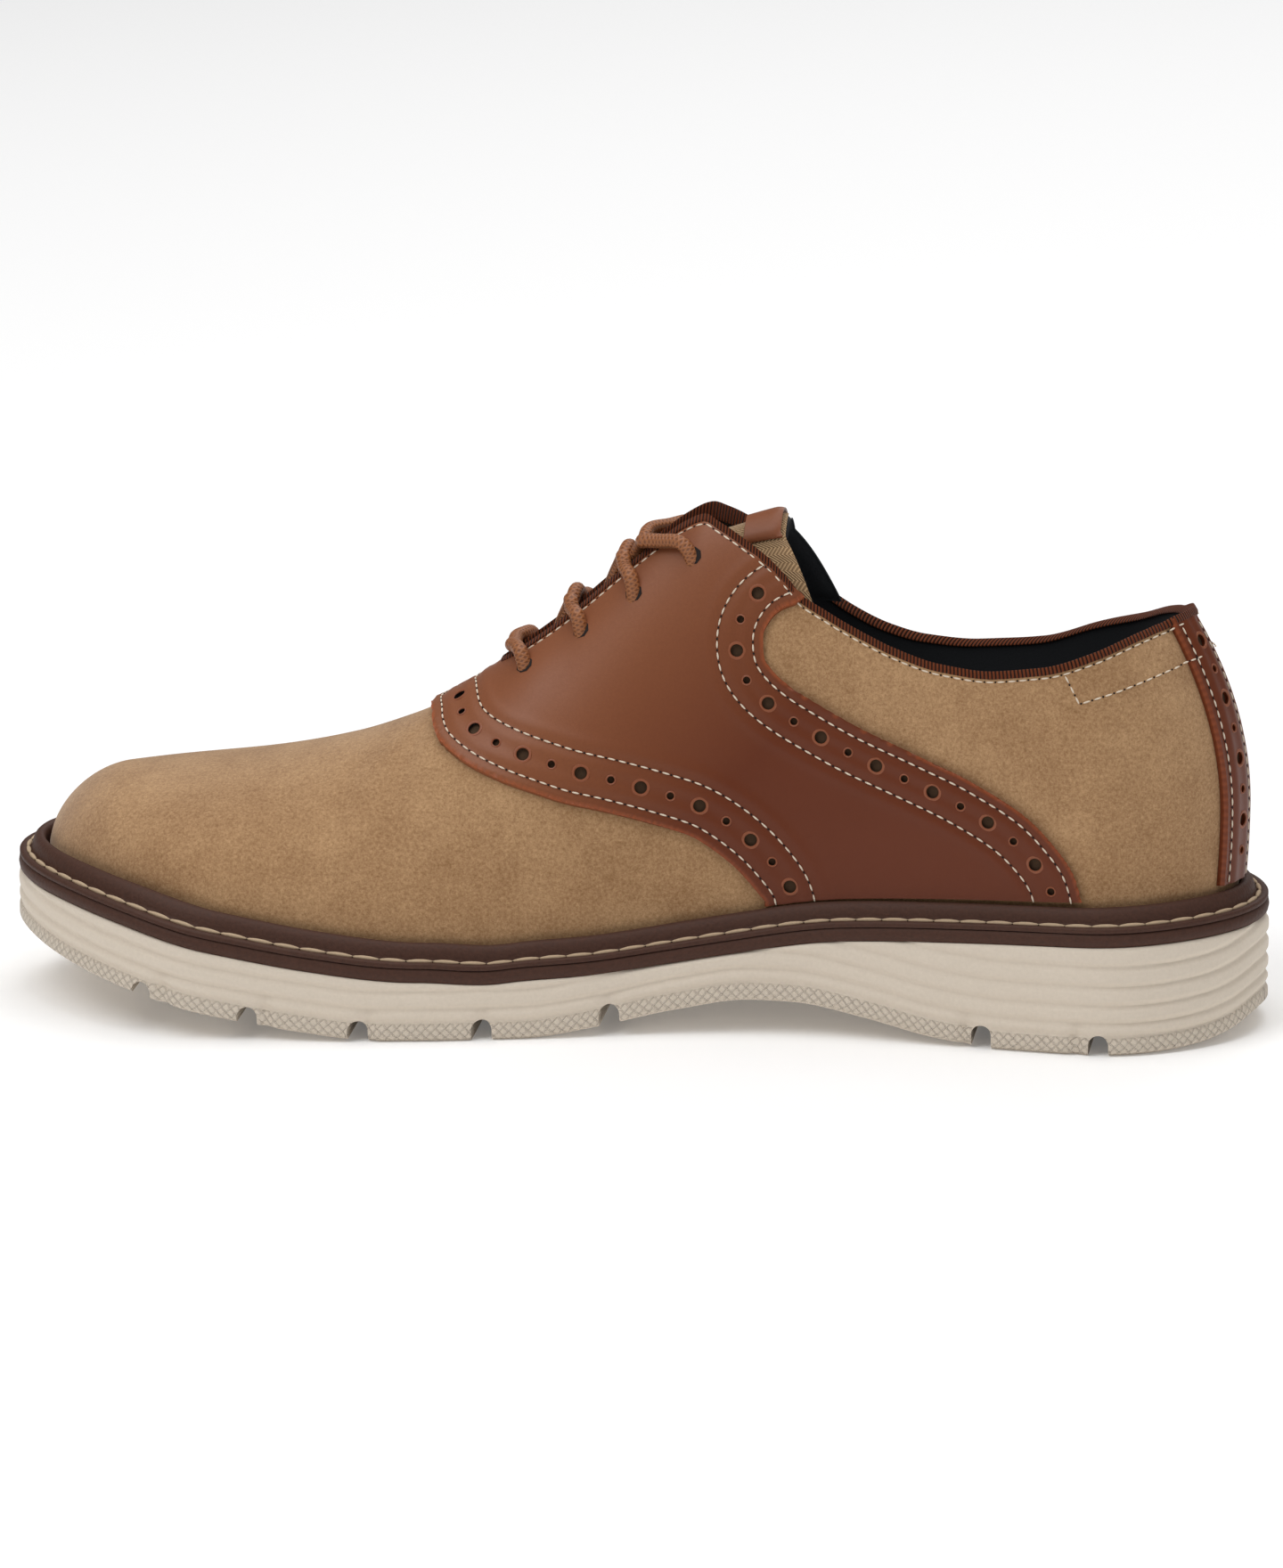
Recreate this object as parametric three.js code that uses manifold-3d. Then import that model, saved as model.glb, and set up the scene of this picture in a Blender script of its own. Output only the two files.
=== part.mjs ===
// A laced saddle shoe for the right foot, standing empty on its sole.
// Millimetres, +Z up, toe towards -X, medial (inner) side towards -Y.
// The origin is the middle of the footprint's box, on the ground.
import * as THREE from 'three';
import Module from 'manifold-3d';
import { mergeVertices } from 'three/addons/utils/BufferGeometryUtils.js';

const wasm = await Module();
wasm.setup();

// Driving sizes
const soleLength = 300;
const ballWidth = 105;
const gap = 0.3; // between pieces that touch
const seatGap = 0.5; // between the midsole and what stands on it
const tapeGap = 0.5; // between the rim and the tape over it
const stationCount = 32; // sections from heel to toe
const heelSwing = 11.0; // how far the heel end bends towards the medial side
const toeSwing = 9;
const heelBendStart = 20; // where the bend of each end starts, from the middle
const toeBendStart = -30;
const spineShift = 2.3; // sideways, so that the footprint's box is centred

const heelFoam = 25.8; // height of the foam sole at the heel's edge
const ballFoam = 14.4; // and at the ball
const archLift = 8.4; // of the tread in the arch
const toeSpring = 16.5;
const heelBevel = 5.0;
const midsoleThickness = 3.0;
const weltFlange = 0.9; // edge of the welt strip
const weltBead = 3.7; // height of its raised bead above the flange
const weltWidth = 8.4; // from the sole's edge to the upper, at the ball

const upperWall = 2.0;
const overlayWall = 1.3; // saddle and back strip
const cutAbove = 5; // reach of the bodies that cut them out
const cutBelow = 1.5;
const insoleThickness = 4.0;
const tongueWall = 3.2;
const instepHeight = 124; // the top corner of the facings, above the ground
const backHeight = 70.5; // the back of the collar, above the feather line
const backLean = 13.2; // how far the top of the back leans forward
const backTuck = 1.2; // how far its foot is tucked in
const backBulgeAt = 23; // height of the back's fullest point

const grooveWidth = 4.8; // of the tread
const grooveDepth = 5.0;
const laceRadius = 1.7;
const laceGap = 0.6; // from a lace to what it lies on
const crossHeight = 1.3; // of the upper lace where two cross
const crossBite = 0.5; // how deep crossing laces join
const bindingReach = 2.2; // how far the tape reaches down from the rim
const bindingThickness = 1.0;
const stripHalfWidth = 8.2;
const stripShift = 3.4; // of the back strip, to the medial side
const tabHalfWidth = 0.18; // share of the way to the feather line
const tabThickness = 1.3;
const tabStart = 0.9; // share of the tongue's length
const tapeFront = 0.584; // where the tape's two ends lie, along the shoe
const overlayFoot = 0.915; // how far down the back strip reaches
const overlayClear = 0.5; // between the tape's edge and an overlay

const halfLength = soleLength / 2;
const halfBall = ballWidth / 2;

// Footprint: half widths from the spine, as shares of half the ball's width.
const footprint = [
  { at: 0.0, medial: 0.66, lateral: 0.66 },
  { at: 0.1, medial: 0.725, lateral: 0.725 },
  { at: 0.22, medial: 0.71, lateral: 0.71 },
  { at: 0.36, medial: 0.66, lateral: 0.73 },
  { at: 0.46, medial: 0.72, lateral: 0.82 },
  { at: 0.56, medial: 0.86, lateral: 0.93 },
  { at: 0.66, medial: 0.98, lateral: 0.99 },
  { at: 0.74, medial: 1.02, lateral: 0.98 },
  { at: 0.83, medial: 1.02, lateral: 0.94 },
  { at: 0.92, medial: 0.94, lateral: 0.84 },
  { at: 1.0, medial: 0.82, lateral: 0.74 },
];
const heelRound = 0.13; // share of the length in which each end is rounded
const toeRound = 0.155;

// Tread height in each share of the length, as shares of arch lift, toe spring and heel bevel.
const treadLine = [
  { at: 0.0, bevel: 1.0, arch: 0, spring: 0 },
  { at: 0.014, bevel: 0.45, arch: 0, spring: 0 },
  { at: 0.03, bevel: 0.2, arch: 0, spring: 0 },
  { at: 0.06, bevel: 0.04, arch: 0, spring: 0 },
  { at: 0.09, bevel: 0, arch: 0, spring: 0 },
  { at: 0.18, bevel: 0, arch: 0, spring: 0 },
  { at: 0.24, bevel: 0, arch: 0.2, spring: 0 },
  { at: 0.3, bevel: 0, arch: 0.62, spring: 0 },
  { at: 0.36, bevel: 0, arch: 0.96, spring: 0 },
  { at: 0.4, bevel: 0, arch: 1.0, spring: 0 },
  { at: 0.46, bevel: 0, arch: 0.7, spring: 0 },
  { at: 0.52, bevel: 0, arch: 0.27, spring: 0 },
  { at: 0.58, bevel: 0, arch: 0, spring: 0 },
  { at: 0.69, bevel: 0, arch: 0, spring: 0 },
  { at: 0.76, bevel: 0, arch: 0, spring: 0.12 },
  { at: 0.84, bevel: 0, arch: 0, spring: 0.35 },
  { at: 0.92, bevel: 0, arch: 0, spring: 0.64 },
  { at: 0.97, bevel: 0, arch: 0, spring: 0.84 },
  { at: 1.0, bevel: 0, arch: 0, spring: 1.0 },
];

// Foam top above the ground: shares of the heel's and the ball's foam heights and of the toe spring.
const foamLine = [
  { at: 0.0, heel: 1.04, ball: 0, spring: 0 },
  { at: 0.1, heel: 1.02, ball: 0, spring: 0 },
  { at: 0.22, heel: 0.985, ball: 0, spring: 0 },
  { at: 0.32, heel: 0.92, ball: 0, spring: 0 },
  { at: 0.42, heel: 0.755, ball: 0, spring: 0 },
  { at: 0.52, heel: 0.59, ball: 0, spring: 0 },
  { at: 0.59, heel: 0.535, ball: 0, spring: 0 },
  { at: 0.66, heel: 0, ball: 1.0, spring: 0 },
  { at: 0.75, heel: 0, ball: 1.0, spring: 0.15 },
  { at: 0.84, heel: 0, ball: 1.0, spring: 0.42 },
  { at: 0.92, heel: 0, ball: 1.0, spring: 0.715 },
  { at: 0.965, heel: 0, ball: 1.0, spring: 0.83 },
  { at: 1.0, heel: 0, ball: 1.0, spring: 0.88 },
];

// Width of the welt, as a share of weltWidth.
const weltLine = [
  { at: 0.0, width: 0.86 },
  { at: 0.12, width: 0.86 },
  { at: 0.3, width: 0.95 },
  { at: 0.5, width: 1.0 },
  { at: 0.85, width: 1.0 },
  { at: 1.0, width: 0.86 },
];

// The last's sections. ridge is the top's height as a share of instepHeight, shift the ridge's
// place off the spine, flare how far the side stands out, rise and shoulder its two handles.
const lastSections = [
  { at: 0.0, ridge: 1.01, shift: 0, flare: 2.0, rise: 0.45, shoulderM: 1.0, shoulderL: 1.0 },
  { at: 0.1, ridge: 0.995, shift: 0, flare: 2.4, rise: 0.45, shoulderM: 1.02, shoulderL: 1.02 },
  { at: 0.2, ridge: 0.975, shift: 0, flare: 2.4, rise: 0.43, shoulderM: 1.0, shoulderL: 1.0 },
  { at: 0.3, ridge: 0.985, shift: -1, flare: 1.6, rise: 0.38, shoulderM: 0.86, shoulderL: 0.86 },
  { at: 0.375, ridge: 1.005, shift: -2, flare: 1.2, rise: 0.34, shoulderM: 0.68, shoulderL: 0.7 },
  { at: 0.4385, ridge: 0.98, shift: -3, flare: 1.2, rise: 0.32, shoulderM: 0.56, shoulderL: 0.6 },
  { at: 0.462, ridge: 0.944, shift: -3, flare: 1.2, rise: 0.32, shoulderM: 0.53, shoulderL: 0.57 },
  { at: 0.505, ridge: 0.861, shift: -4, flare: 1.3, rise: 0.33, shoulderM: 0.48, shoulderL: 0.54 },
  { at: 0.55, ridge: 0.767, shift: -4, flare: 1.6, rise: 0.36, shoulderM: 0.45, shoulderL: 0.52 },
  { at: 0.59, ridge: 0.7, shift: -5, flare: 1.9, rise: 0.4, shoulderM: 0.44, shoulderL: 0.51 },
  { at: 0.638, ridge: 0.63, shift: -5, flare: 2.3, rise: 0.45, shoulderM: 0.44, shoulderL: 0.5 },
  { at: 0.668, ridge: 0.597, shift: -5, flare: 2.5, rise: 0.49, shoulderM: 0.45, shoulderL: 0.5 },
  { at: 0.7, ridge: 0.559, shift: -5, flare: 2.7, rise: 0.53, shoulderM: 0.46, shoulderL: 0.5 },
  { at: 0.744, ridge: 0.513, shift: -5, flare: 2.8, rise: 0.58, shoulderM: 0.47, shoulderL: 0.5 },
  { at: 0.82, ridge: 0.468, shift: -4, flare: 2.8, rise: 0.62, shoulderM: 0.5, shoulderL: 0.52 },
  { at: 0.91, ridge: 0.443, shift: -3, flare: 2.6, rise: 0.64, shoulderM: 0.54, shoulderL: 0.55 },
  { at: 1.0, ridge: 0.418, shift: 0, flare: 2.2, rise: 0.6, shoulderM: 0.56, shoulderL: 0.56 },
];
const toeDome = 0.066; // share of the last's length in which the toe's top rounds down

// Where the opening's rim lies, as a share of the way from ridge to feather line.
const throatFront = 0.617;
const rimLine = [
  { at: 0.0, medial: 0.445, lateral: 0.45 },
  { at: 0.012, medial: 0.447, lateral: 0.453 },
  { at: 0.03, medial: 0.457, lateral: 0.465 },
  { at: 0.074, medial: 0.487, lateral: 0.502 },
  { at: 0.127, medial: 0.51, lateral: 0.53 },
  { at: 0.175, medial: 0.512, lateral: 0.552 },
  { at: 0.23, medial: 0.497, lateral: 0.555 },
  { at: 0.275, medial: 0.465, lateral: 0.54 },
  { at: 0.304, medial: 0.434, lateral: 0.515 },
  { at: 0.333, medial: 0.4, lateral: 0.475 },
  { at: 0.362, medial: 0.36, lateral: 0.415 },
  { at: 0.3865, medial: 0.296, lateral: 0.34 },
  { at: 0.411, medial: 0.23, lateral: 0.25 },
  { at: 0.432, medial: 0.165, lateral: 0.17 },
  { at: 0.445, medial: 0.12, lateral: 0.12 },
  { at: 0.47, medial: 0.09, lateral: 0.08 },
  { at: 0.51, medial: 0.084, lateral: 0.078 },
  { at: 0.56, medial: 0.078, lateral: 0.074 },
  { at: 0.595, medial: 0.064, lateral: 0.06 },
  { at: 0.61, medial: 0.035, lateral: 0.033 },
  { at: 0.617, medial: 0.0, lateral: 0.0 },
];

// The saddle's two edges, down from the rim (0) to the welt: places along the shoe.
const saddleEdges = [
  { down: 0.0, front: 0.676, rear: 0.362 },
  { down: 0.06, front: 0.6745, rear: 0.37 },
  { down: 0.12, front: 0.672, rear: 0.38 },
  { down: 0.19, front: 0.67, rear: 0.3865 },
  { down: 0.25, front: 0.667, rear: 0.3885 },
  { down: 0.3, front: 0.6635, rear: 0.384 },
  { down: 0.322, front: 0.661, rear: 0.367 },
  { down: 0.335, front: 0.6595, rear: 0.31 },
  { down: 0.35, front: 0.6575, rear: 0.257 },
  { down: 0.415, front: 0.6455, rear: 0.21 },
  { down: 0.46, front: 0.632, rear: 0.193 },
  { down: 0.49, front: 0.603, rear: 0.183 },
  { down: 0.52, front: 0.577, rear: 0.174 },
  { down: 0.57, front: 0.551, rear: 0.16 },
  { down: 0.63, front: 0.526, rear: 0.1475 },
  { down: 0.69, front: 0.485, rear: 0.137 },
  { down: 0.75, front: 0.439, rear: 0.127 },
  { down: 0.81, front: 0.4065, rear: 0.1195 },
  { down: 0.91, front: 0.382, rear: 0.111 },
];

// The tongue, from its front end (0) to its top end (1): half width as a share of the way
// to the feather line, depth below the last's surface in the middle and at the sides.
const tongueFront = 0.655;
const tongueEnd = 0.364;
const tongueSlant = 0.036; // how much further back the top end's corners lie
const tongueLine = [
  { at: 0.0, half: 0.14, middle: 2.5, side: 2.5 },
  { at: 0.1, half: 0.22, middle: 5.0, side: 4.0 },
  { at: 0.18, half: 0.3, middle: 7.2, side: 6.9 },
  { at: 0.74, half: 0.36, middle: 7.2, side: 6.9 },
  { at: 0.86, half: 0.38, middle: 6.8, side: 6.4 },
  { at: 1.0, half: 0.4, middle: 5.0, side: 5.2 },
];

// Eyelets: place along the shoe, share from ridge to feather line, and how much further
// towards the toe the lace from it crosses the facing's edge.
const eyelets = [
  { along: 0.592, down: 0.215, lean: 0.012 },
  { along: 0.545, down: 0.23, lean: 0.0135 },
  { along: 0.501, down: 0.24, lean: 0.0125 },
  { along: 0.452, down: 0.245, lean: 0.028 },
];

// A smooth curve through a table's rows: monotone cubic Hermite.
function lookUp(table, column, at) {
  const last = table.length - 1;
  if (at <= table[0].at) return table[0][column];
  if (at >= table[last].at) return table[last][column];
  let i = 0;
  while (table[i + 1].at < at) i += 1;
  const slope = (k) => (table[k + 1][column] - table[k][column]) / (table[k + 1].at - table[k].at);
  const tangent = (k) => {
    if (k === 0) return slope(0);
    if (k === last) return slope(last - 1);
    const before = slope(k - 1);
    const after = slope(k);
    return before * after <= 0 ? 0 : (2 * before * after) / (before + after);
  };
  const width = table[i + 1].at - table[i].at;
  const s = (at - table[i].at) / width;
  const s2 = s * s;
  const s3 = s2 * s;
  return (2 * s3 - 3 * s2 + 1) * table[i][column] + (s3 - 2 * s2 + s) * width * tangent(i)
    + (3 * s2 - 2 * s3) * table[i + 1][column] + (s3 - s2) * width * tangent(i + 1);
}

// 1 along the shoe, falling to 0 on a quarter ellipse at one end or at both.
const quarter = (share, span) => (share < span ? Math.sqrt(1 - ((span - share) / span) ** 2) : 1);
const roundEnds = (at) => quarter(at, heelRound) * quarter(1 - at, toeRound);

// The plan's spine, which bends to the medial side at both ends.
function spine(x) {
  const heelReach = halfLength - heelBendStart;
  const toeReach = halfLength + toeBendStart;
  const heel = Math.max(0, x - heelBendStart) / heelReach;
  const toe = Math.max(0, toeBendStart - x) / toeReach;
  return {
    y: spineShift - heelSwing * heel * heel - toeSwing * toe * toe,
    slope: (-2 * heelSwing * heel) / heelReach + (2 * toeSwing * toe) / toeReach,
  };
}

// A point at a spine station, a distance to the lateral side, and a height.
function place(x, aside, z) {
  const { y, slope } = spine(x);
  const length = Math.hypot(1, slope);
  return new THREE.Vector3(x - (aside * slope) / length, y + aside / length, z);
}

const weltAt = (at) => lookUp(weltLine, 'width', at) * weltWidth;
const alongX = (at, grow) => (halfLength + grow) * (1 - 2 * at);
const halfWidth = (at, side, grow) =>
  (lookUp(footprint, side < 0 ? 'medial' : 'lateral', at) * halfBall + grow) * roundEnds(at);
const edgePoint = (at, side, grow, z) => place(alongX(at, grow), side * halfWidth(at, side, grow), z);

const treadZ = (at) => lookUp(treadLine, 'bevel', at) * heelBevel
  + lookUp(treadLine, 'arch', at) * archLift + lookUp(treadLine, 'spring', at) * toeSpring;
const foamZ = (at) => lookUp(foamLine, 'heel', at) * heelFoam
  + lookUp(foamLine, 'ball', at) * ballFoam + lookUp(foamLine, 'spring', at) * toeSpring;
const midsoleZ = (at) => foamZ(at) + gap + midsoleThickness;
const featherZ = (at) => midsoleZ(at) + seatGap;

// How far the heel's back lies behind the feather line's end at a height above it.
function backCurve(height) {
  if (height < backBulgeAt) return backTuck * (1 - ((backBulgeAt - height) / backBulgeAt) ** 2);
  return backTuck - (backLean + backTuck) * ((height - backBulgeAt) / (backHeight - backBulgeAt)) ** 2;
}
const heelShare = (at) => {
  const s = Math.min(1, at / 0.3);
  return 1 - s * s * (3 - 2 * s);
};

// The last's surface: at runs from heel to toe, v from the ridge (0) to the feather line (1).
function lastPoint(at, side, v, offset) {
  const grow = offset - weltAt(at);
  const round = roundEnds(at);
  const foot = featherZ(at);
  const slope = (lookUp(lastSections, 'ridge', at - 0.01) - lookUp(lastSections, 'ridge', at + 0.01))
    * instepHeight / (0.02 * 2 * (halfLength + grow));
  const rise = offset * Math.hypot(1, slope);
  const top = lookUp(lastSections, 'ridge', at) * instepHeight + rise;
  const height = (top - foot) * quarter(1 - at, toeDome);
  const shift = lookUp(lastSections, 'shift', at) * round;
  const width = side * halfWidth(at, side, grow);
  const shoulder = lookUp(lastSections, side < 0 ? 'shoulderM' : 'shoulderL', at);
  const belly = width + side * lookUp(lastSections, 'flare', at) * round;
  const asides = [shift, shift + width * shoulder, belly, width];
  const heights = [height, height, height * lookUp(lastSections, 'rise', at), 0];
  const w = 1 - v;
  const weights = [w * w * w, 3 * w * w * v, 3 * w * v * v, v * v * v];
  const aside = weights.reduce((sum, k, i) => sum + k * asides[i], 0);
  const up = weights.reduce((sum, k, i) => sum + k * heights[i], 0);
  const x = alongX(at, grow);
  const point = place(x, aside, foot + up);
  point.x += backCurve(up) * heelShare(at);
  return point;
}

const rimShare = (at, side) => (at >= throatFront ? 0 : lookUp(rimLine, side < 0 ? 'medial' : 'lateral', at));

// Sections lie closer together where an end rounds off.
function stations(count, from, to) {
  const share = (i) => (1 - Math.cos((Math.PI * i) / count)) / 2;
  return Array.from({ length: count + 1 }, (_, i) => from + (to - from) * share(i));
}

// Mesh helpers. A body is { points, faces }, its faces turning outwards.
function signedVolume({ points, faces }) {
  return faces.reduce((sum, [a, b, c]) =>
    sum + points[a].dot(new THREE.Vector3().crossVectors(points[b], points[c])), 0);
}

function geometryOf(body) {
  const flip = signedVolume(body) < 0;
  const geometry = new THREE.BufferGeometry();
  const places = body.points.flatMap((p) => [p.x, p.y, p.z]);
  geometry.setAttribute('position', new THREE.Float32BufferAttribute(places, 3));
  geometry.setIndex(body.faces.flatMap(([a, b, c]) => (flip ? [a, c, b] : [a, b, c])));
  return geometry;
}

// Rings of points, joined one to the next, with flat ladders or no caps at all on a closed loop.
function ringBody(rings, loop = false) {
  const size = rings[0].length;
  const points = rings.flat();
  const faces = [];
  const joins = loop ? rings.length : rings.length - 1;
  for (let k = 0; k < joins; k += 1) {
    for (let j = 0; j < size; j += 1) {
      const a = k * size + j;
      const b = k * size + ((j + 1) % size);
      const c = ((k + 1) % rings.length) * size + j;
      const d = ((k + 1) % rings.length) * size + ((j + 1) % size);
      faces.push([a, b, d], [a, d, c]);
    }
  }
  if (!loop) {
    ladder(size, 0, true, faces);
    ladder(size, (rings.length - 1) * size, false, faces);
  }
  return { points, faces };
}

// A cap across a ring: each point j is joined to its partner on the other side.
function ladder(size, start, turned, faces) {
  const add = (a, b, c) => {
    faces.push(turned ? [start + a, start + c, start + b] : [start + a, start + b, start + c]);
  };
  for (let j = 0; j < size / 2; j += 1) {
    const a = j;
    const b = j + 1;
    const c = (size - j) % size;
    const d = size - j - 1;
    if (a !== c) add(a, b, c);
    if (b !== d) add(b, d, c);
  }
}

// A ring round the footprint: the medial side from heel to toe, then the lateral side back.
function footRing(grow, height, count = stationCount) {
  const ats = stations(count, 0, 1);
  const medial = ats.map((at) => edgePoint(at, -1, grow(at), height(at)));
  const lateral = ats.slice(1, -1).reverse().map((at) => edgePoint(at, 1, grow(at), height(at)));
  return [...medial, ...lateral];
}

// A skin thickened between two sets of points, with walls along its open edges.
function shellBody(faces, outer, inner) {
  const count = outer.length;
  const directed = new Set();
  for (const [a, b, c] of faces) {
    directed.add(`${a} ${b}`).add(`${b} ${c}`).add(`${c} ${a}`);
  }
  const all = [...faces];
  for (const [a, b, c] of faces) all.push([a + count, c + count, b + count]);
  for (const edge of directed) {
    const [a, b] = edge.split(' ').map(Number);
    if (!directed.has(`${b} ${a}`)) all.push([a, a + count, b + count], [a, b + count, b]);
  }
  return dropUnused({ points: [...outer, ...inner], faces: all });
}

function dropUnused({ points, faces }) {
  const used = [...new Set(faces.flat())].sort((a, b) => a - b);
  const renumbered = new Map(used.map((old, i) => [old, i]));
  return {
    points: used.map((i) => points[i]),
    faces: faces.map((f) => f.map((i) => renumbered.get(i))),
  };
}

function quadTo(faces, a, b, c, d) {
  if (a !== b && b !== c && c !== a) faces.push([a, b, c]);
  if (a !== c && c !== d && d !== a) faces.push([a, c, d]);
}

// Solids for joining and cutting.
function solidOf(geometry) {
  const bare = geometry.clone();
  bare.deleteAttribute('normal');
  bare.deleteAttribute('uv');
  const merged = mergeVertices(bare, 1e-4);
  return new wasm.Manifold(new wasm.Mesh({
    numProp: 3,
    vertProperties: new Float32Array(merged.attributes.position.array),
    triVerts: new Uint32Array(merged.index.array),
  }));
}

function geometryFromSolid(solid) {
  const mesh = solid.getMesh();
  const geometry = new THREE.BufferGeometry();
  geometry.setAttribute('position', new THREE.Float32BufferAttribute(mesh.vertProperties, 3));
  geometry.setIndex(new THREE.Uint32BufferAttribute(mesh.triVerts, 1));
  return geometry;
}

// Foam sole: its side is a stack of scalloped ribs above a textured foot.
const wallRibs = [
  { up: 0.0, out: -3.0 },
  { up: 0.035, out: -1.2 },
  { up: 0.1, out: -0.2 },
  { up: 0.2, out: 0.0 },
  { up: 0.31, out: -0.7 },
  { up: 0.42, out: 0.1 },
  { up: 0.5, out: -0.7 },
  { up: 0.6, out: 0.1 },
  { up: 0.68, out: -0.7 },
  { up: 0.78, out: 0.0 },
  { up: 0.86, out: -0.8 },
  { up: 0.95, out: -0.2 },
  { up: 1.0, out: -0.4 },
];

const grooves = [0.122, 0.215, 0.509, 0.607, 0.703, 0.79, 0.876];

function outsole() {
  const rings = wallRibs.map((rib) =>
    footRing(() => rib.out, (at) => treadZ(at) + rib.up * (foamZ(at) - treadZ(at))));
  let solid = solidOf(geometryOf(ringBody(rings)));
  const section = new THREE.Shape();
  section.moveTo(-grooveWidth / 2, -grooveDepth);
  section.lineTo(grooveWidth / 2, -grooveDepth);
  section.lineTo(grooveWidth / 2, grooveDepth - grooveWidth / 2);
  section.absarc(0, grooveDepth - grooveWidth / 2, grooveWidth / 2, 0, Math.PI);
  for (const at of grooves) {
    const cutter = new THREE.ExtrudeGeometry(section, {
      depth: ballWidth * 1.4,
      bevelEnabled: false,
      curveSegments: 5,
    });
    cutter.rotateX(Math.PI / 2);
    const x = alongX(at, 0);
    cutter.translate(x, ballWidth * 0.7, treadZ(at));
    solid = solid.subtract(solidOf(cutter));
  }
  return geometryFromSolid(solid);
}

function midsole() {
  const levels = [
    { grow: -0.4, z: (at) => foamZ(at) + gap },
    { grow: 0.0, z: (at) => foamZ(at) + gap + 0.6 },
    { grow: -0.2, z: (at) => midsoleZ(at) },
  ];
  return geometryOf(ringBody(levels.map((level) => footRing(() => level.grow, level.z))));
}

// Welt strip: a thin flange, a stitched groove, and a bead against the upper.
function welt() {
  const profile = [
    { inset: 1.0, in: gap + 0.5, up: 0 },
    { inset: 0, in: -0.3, up: 0 },
    { inset: 0, in: -0.3, up: weltFlange },
    { inset: 0.4, in: 0, up: weltFlange - 0.3 },
    { inset: 0.46, in: 0, up: weltFlange + weltBead * 0.55 },
    { inset: 0.6, in: 0, up: weltFlange + weltBead * 0.95 },
    { inset: 0.76, in: 0, up: weltFlange + weltBead * 0.9 },
    { inset: 1.0, in: gap + 1.1, up: weltFlange + weltBead * 0.4 },
  ];
  const rings = profile.map((p) =>
    footRing((at) => p.in - p.inset * weltAt(at), (at) => featherZ(at) + p.up));
  return geometryOf(ringBody(rings, true));
}

function insole() {
  const inset = upperWall + seatGap + 0.4;
  const levels = [
    { in: inset, up: 0 },
    { in: inset, up: insoleThickness * 0.6 },
    { in: inset + 1, up: insoleThickness },
  ];
  return geometryOf(ringBody(levels.map((level) =>
    footRing((at) => -level.in - weltAt(at), (at) => featherZ(at) + level.up))));
}

// The upper's skin: rows are sections from heel to toe, columns run from rim to feather line.
const upperRows = [0, 0.005, 0.016, 0.032, 0.053, 0.078, 0.108, 0.14, 0.175, 0.21, 0.245, 0.28, 0.31,
  0.338, 0.364, 0.388, 0.41, 0.43, 0.445, 0.468, 0.5, 0.535, 0.57, 0.6, throatFront, 0.65, 0.69, 0.73,
  0.775, 0.82, 0.86, 0.895, 0.925, 0.95, 0.97, 0.985, 0.9955, 1];

// The same grid serves the upper and the overlays cut to lie on it.
function skinBody(outside, inside) {
  const columns = 8;
  const outer = [];
  const inner = [];
  const key = new Map();
  const vertex = (i, side, j) => {
    const at = upperRows[i];
    const ridge = at >= throatFront && j === 0;
    const shared = i === 0 || ridge;
    const tip = i === upperRows.length - 1;
    const name = tip ? 'tip' : `${i} ${shared ? 0 : side} ${j}`;
    if (!key.has(name)) {
      key.set(name, outer.length);
      const rim = rimShare(at, side);
      const v = tip ? 1 : rim + (1 - rim) * (j / columns);
      outer.push(lastPoint(at, side, v, outside));
      inner.push(lastPoint(at, side, v, inside));
    }
    return key.get(name);
  };
  const faces = [];
  for (const side of [-1, 1]) {
    for (let i = 0; i < upperRows.length - 1; i += 1) {
      for (let j = 0; j < columns; j += 1) {
        const quad = [[i, j], [i + 1, j], [i + 1, j + 1], [i, j + 1]].map(([a, b]) => vertex(a, side, b));
        if (side > 0) quad.reverse();
        quadTo(faces, ...quad);
      }
    }
  }
  return shellBody(faces, outer, inner);
}

const upper = () => geometryOf(skinBody(0, -upperWall));
const overlaySkin = () => solidOf(geometryOf(skinBody(gap + overlayWall, gap)));

// A point given by millimetres below the opening's rim.
function belowRim(at, side, down, offset) {
  const rim = rimShare(at, side);
  const step = 0.03;
  const reach = lastPoint(at, side, rim, 0).distanceTo(lastPoint(at, side, rim + step, 0)) / step;
  return lastPoint(at, side, Math.max(0, rim + down / reach), offset);
}

// The share at which overlays start below the tape; it fades out in front of the throat.
function overlayTop(at, side) {
  if (at >= throatFront) return 0;
  const rim = rimShare(at, side);
  const step = 0.03;
  const reach = lastPoint(at, side, rim, 0).distanceTo(lastPoint(at, side, rim + step, 0)) / step;
  const clear = bindingReach + tapeGap + overlayClear;
  return rim + (clear * Math.min(1, (throatFront - at) / 0.02)) / reach;
}

// Overlays are cut out of the outer skin by a thicker body with their outline.
const cutFromSkin = (body) => geometryFromSolid(overlaySkin().intersect(solidOf(geometryOf(body))));

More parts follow.
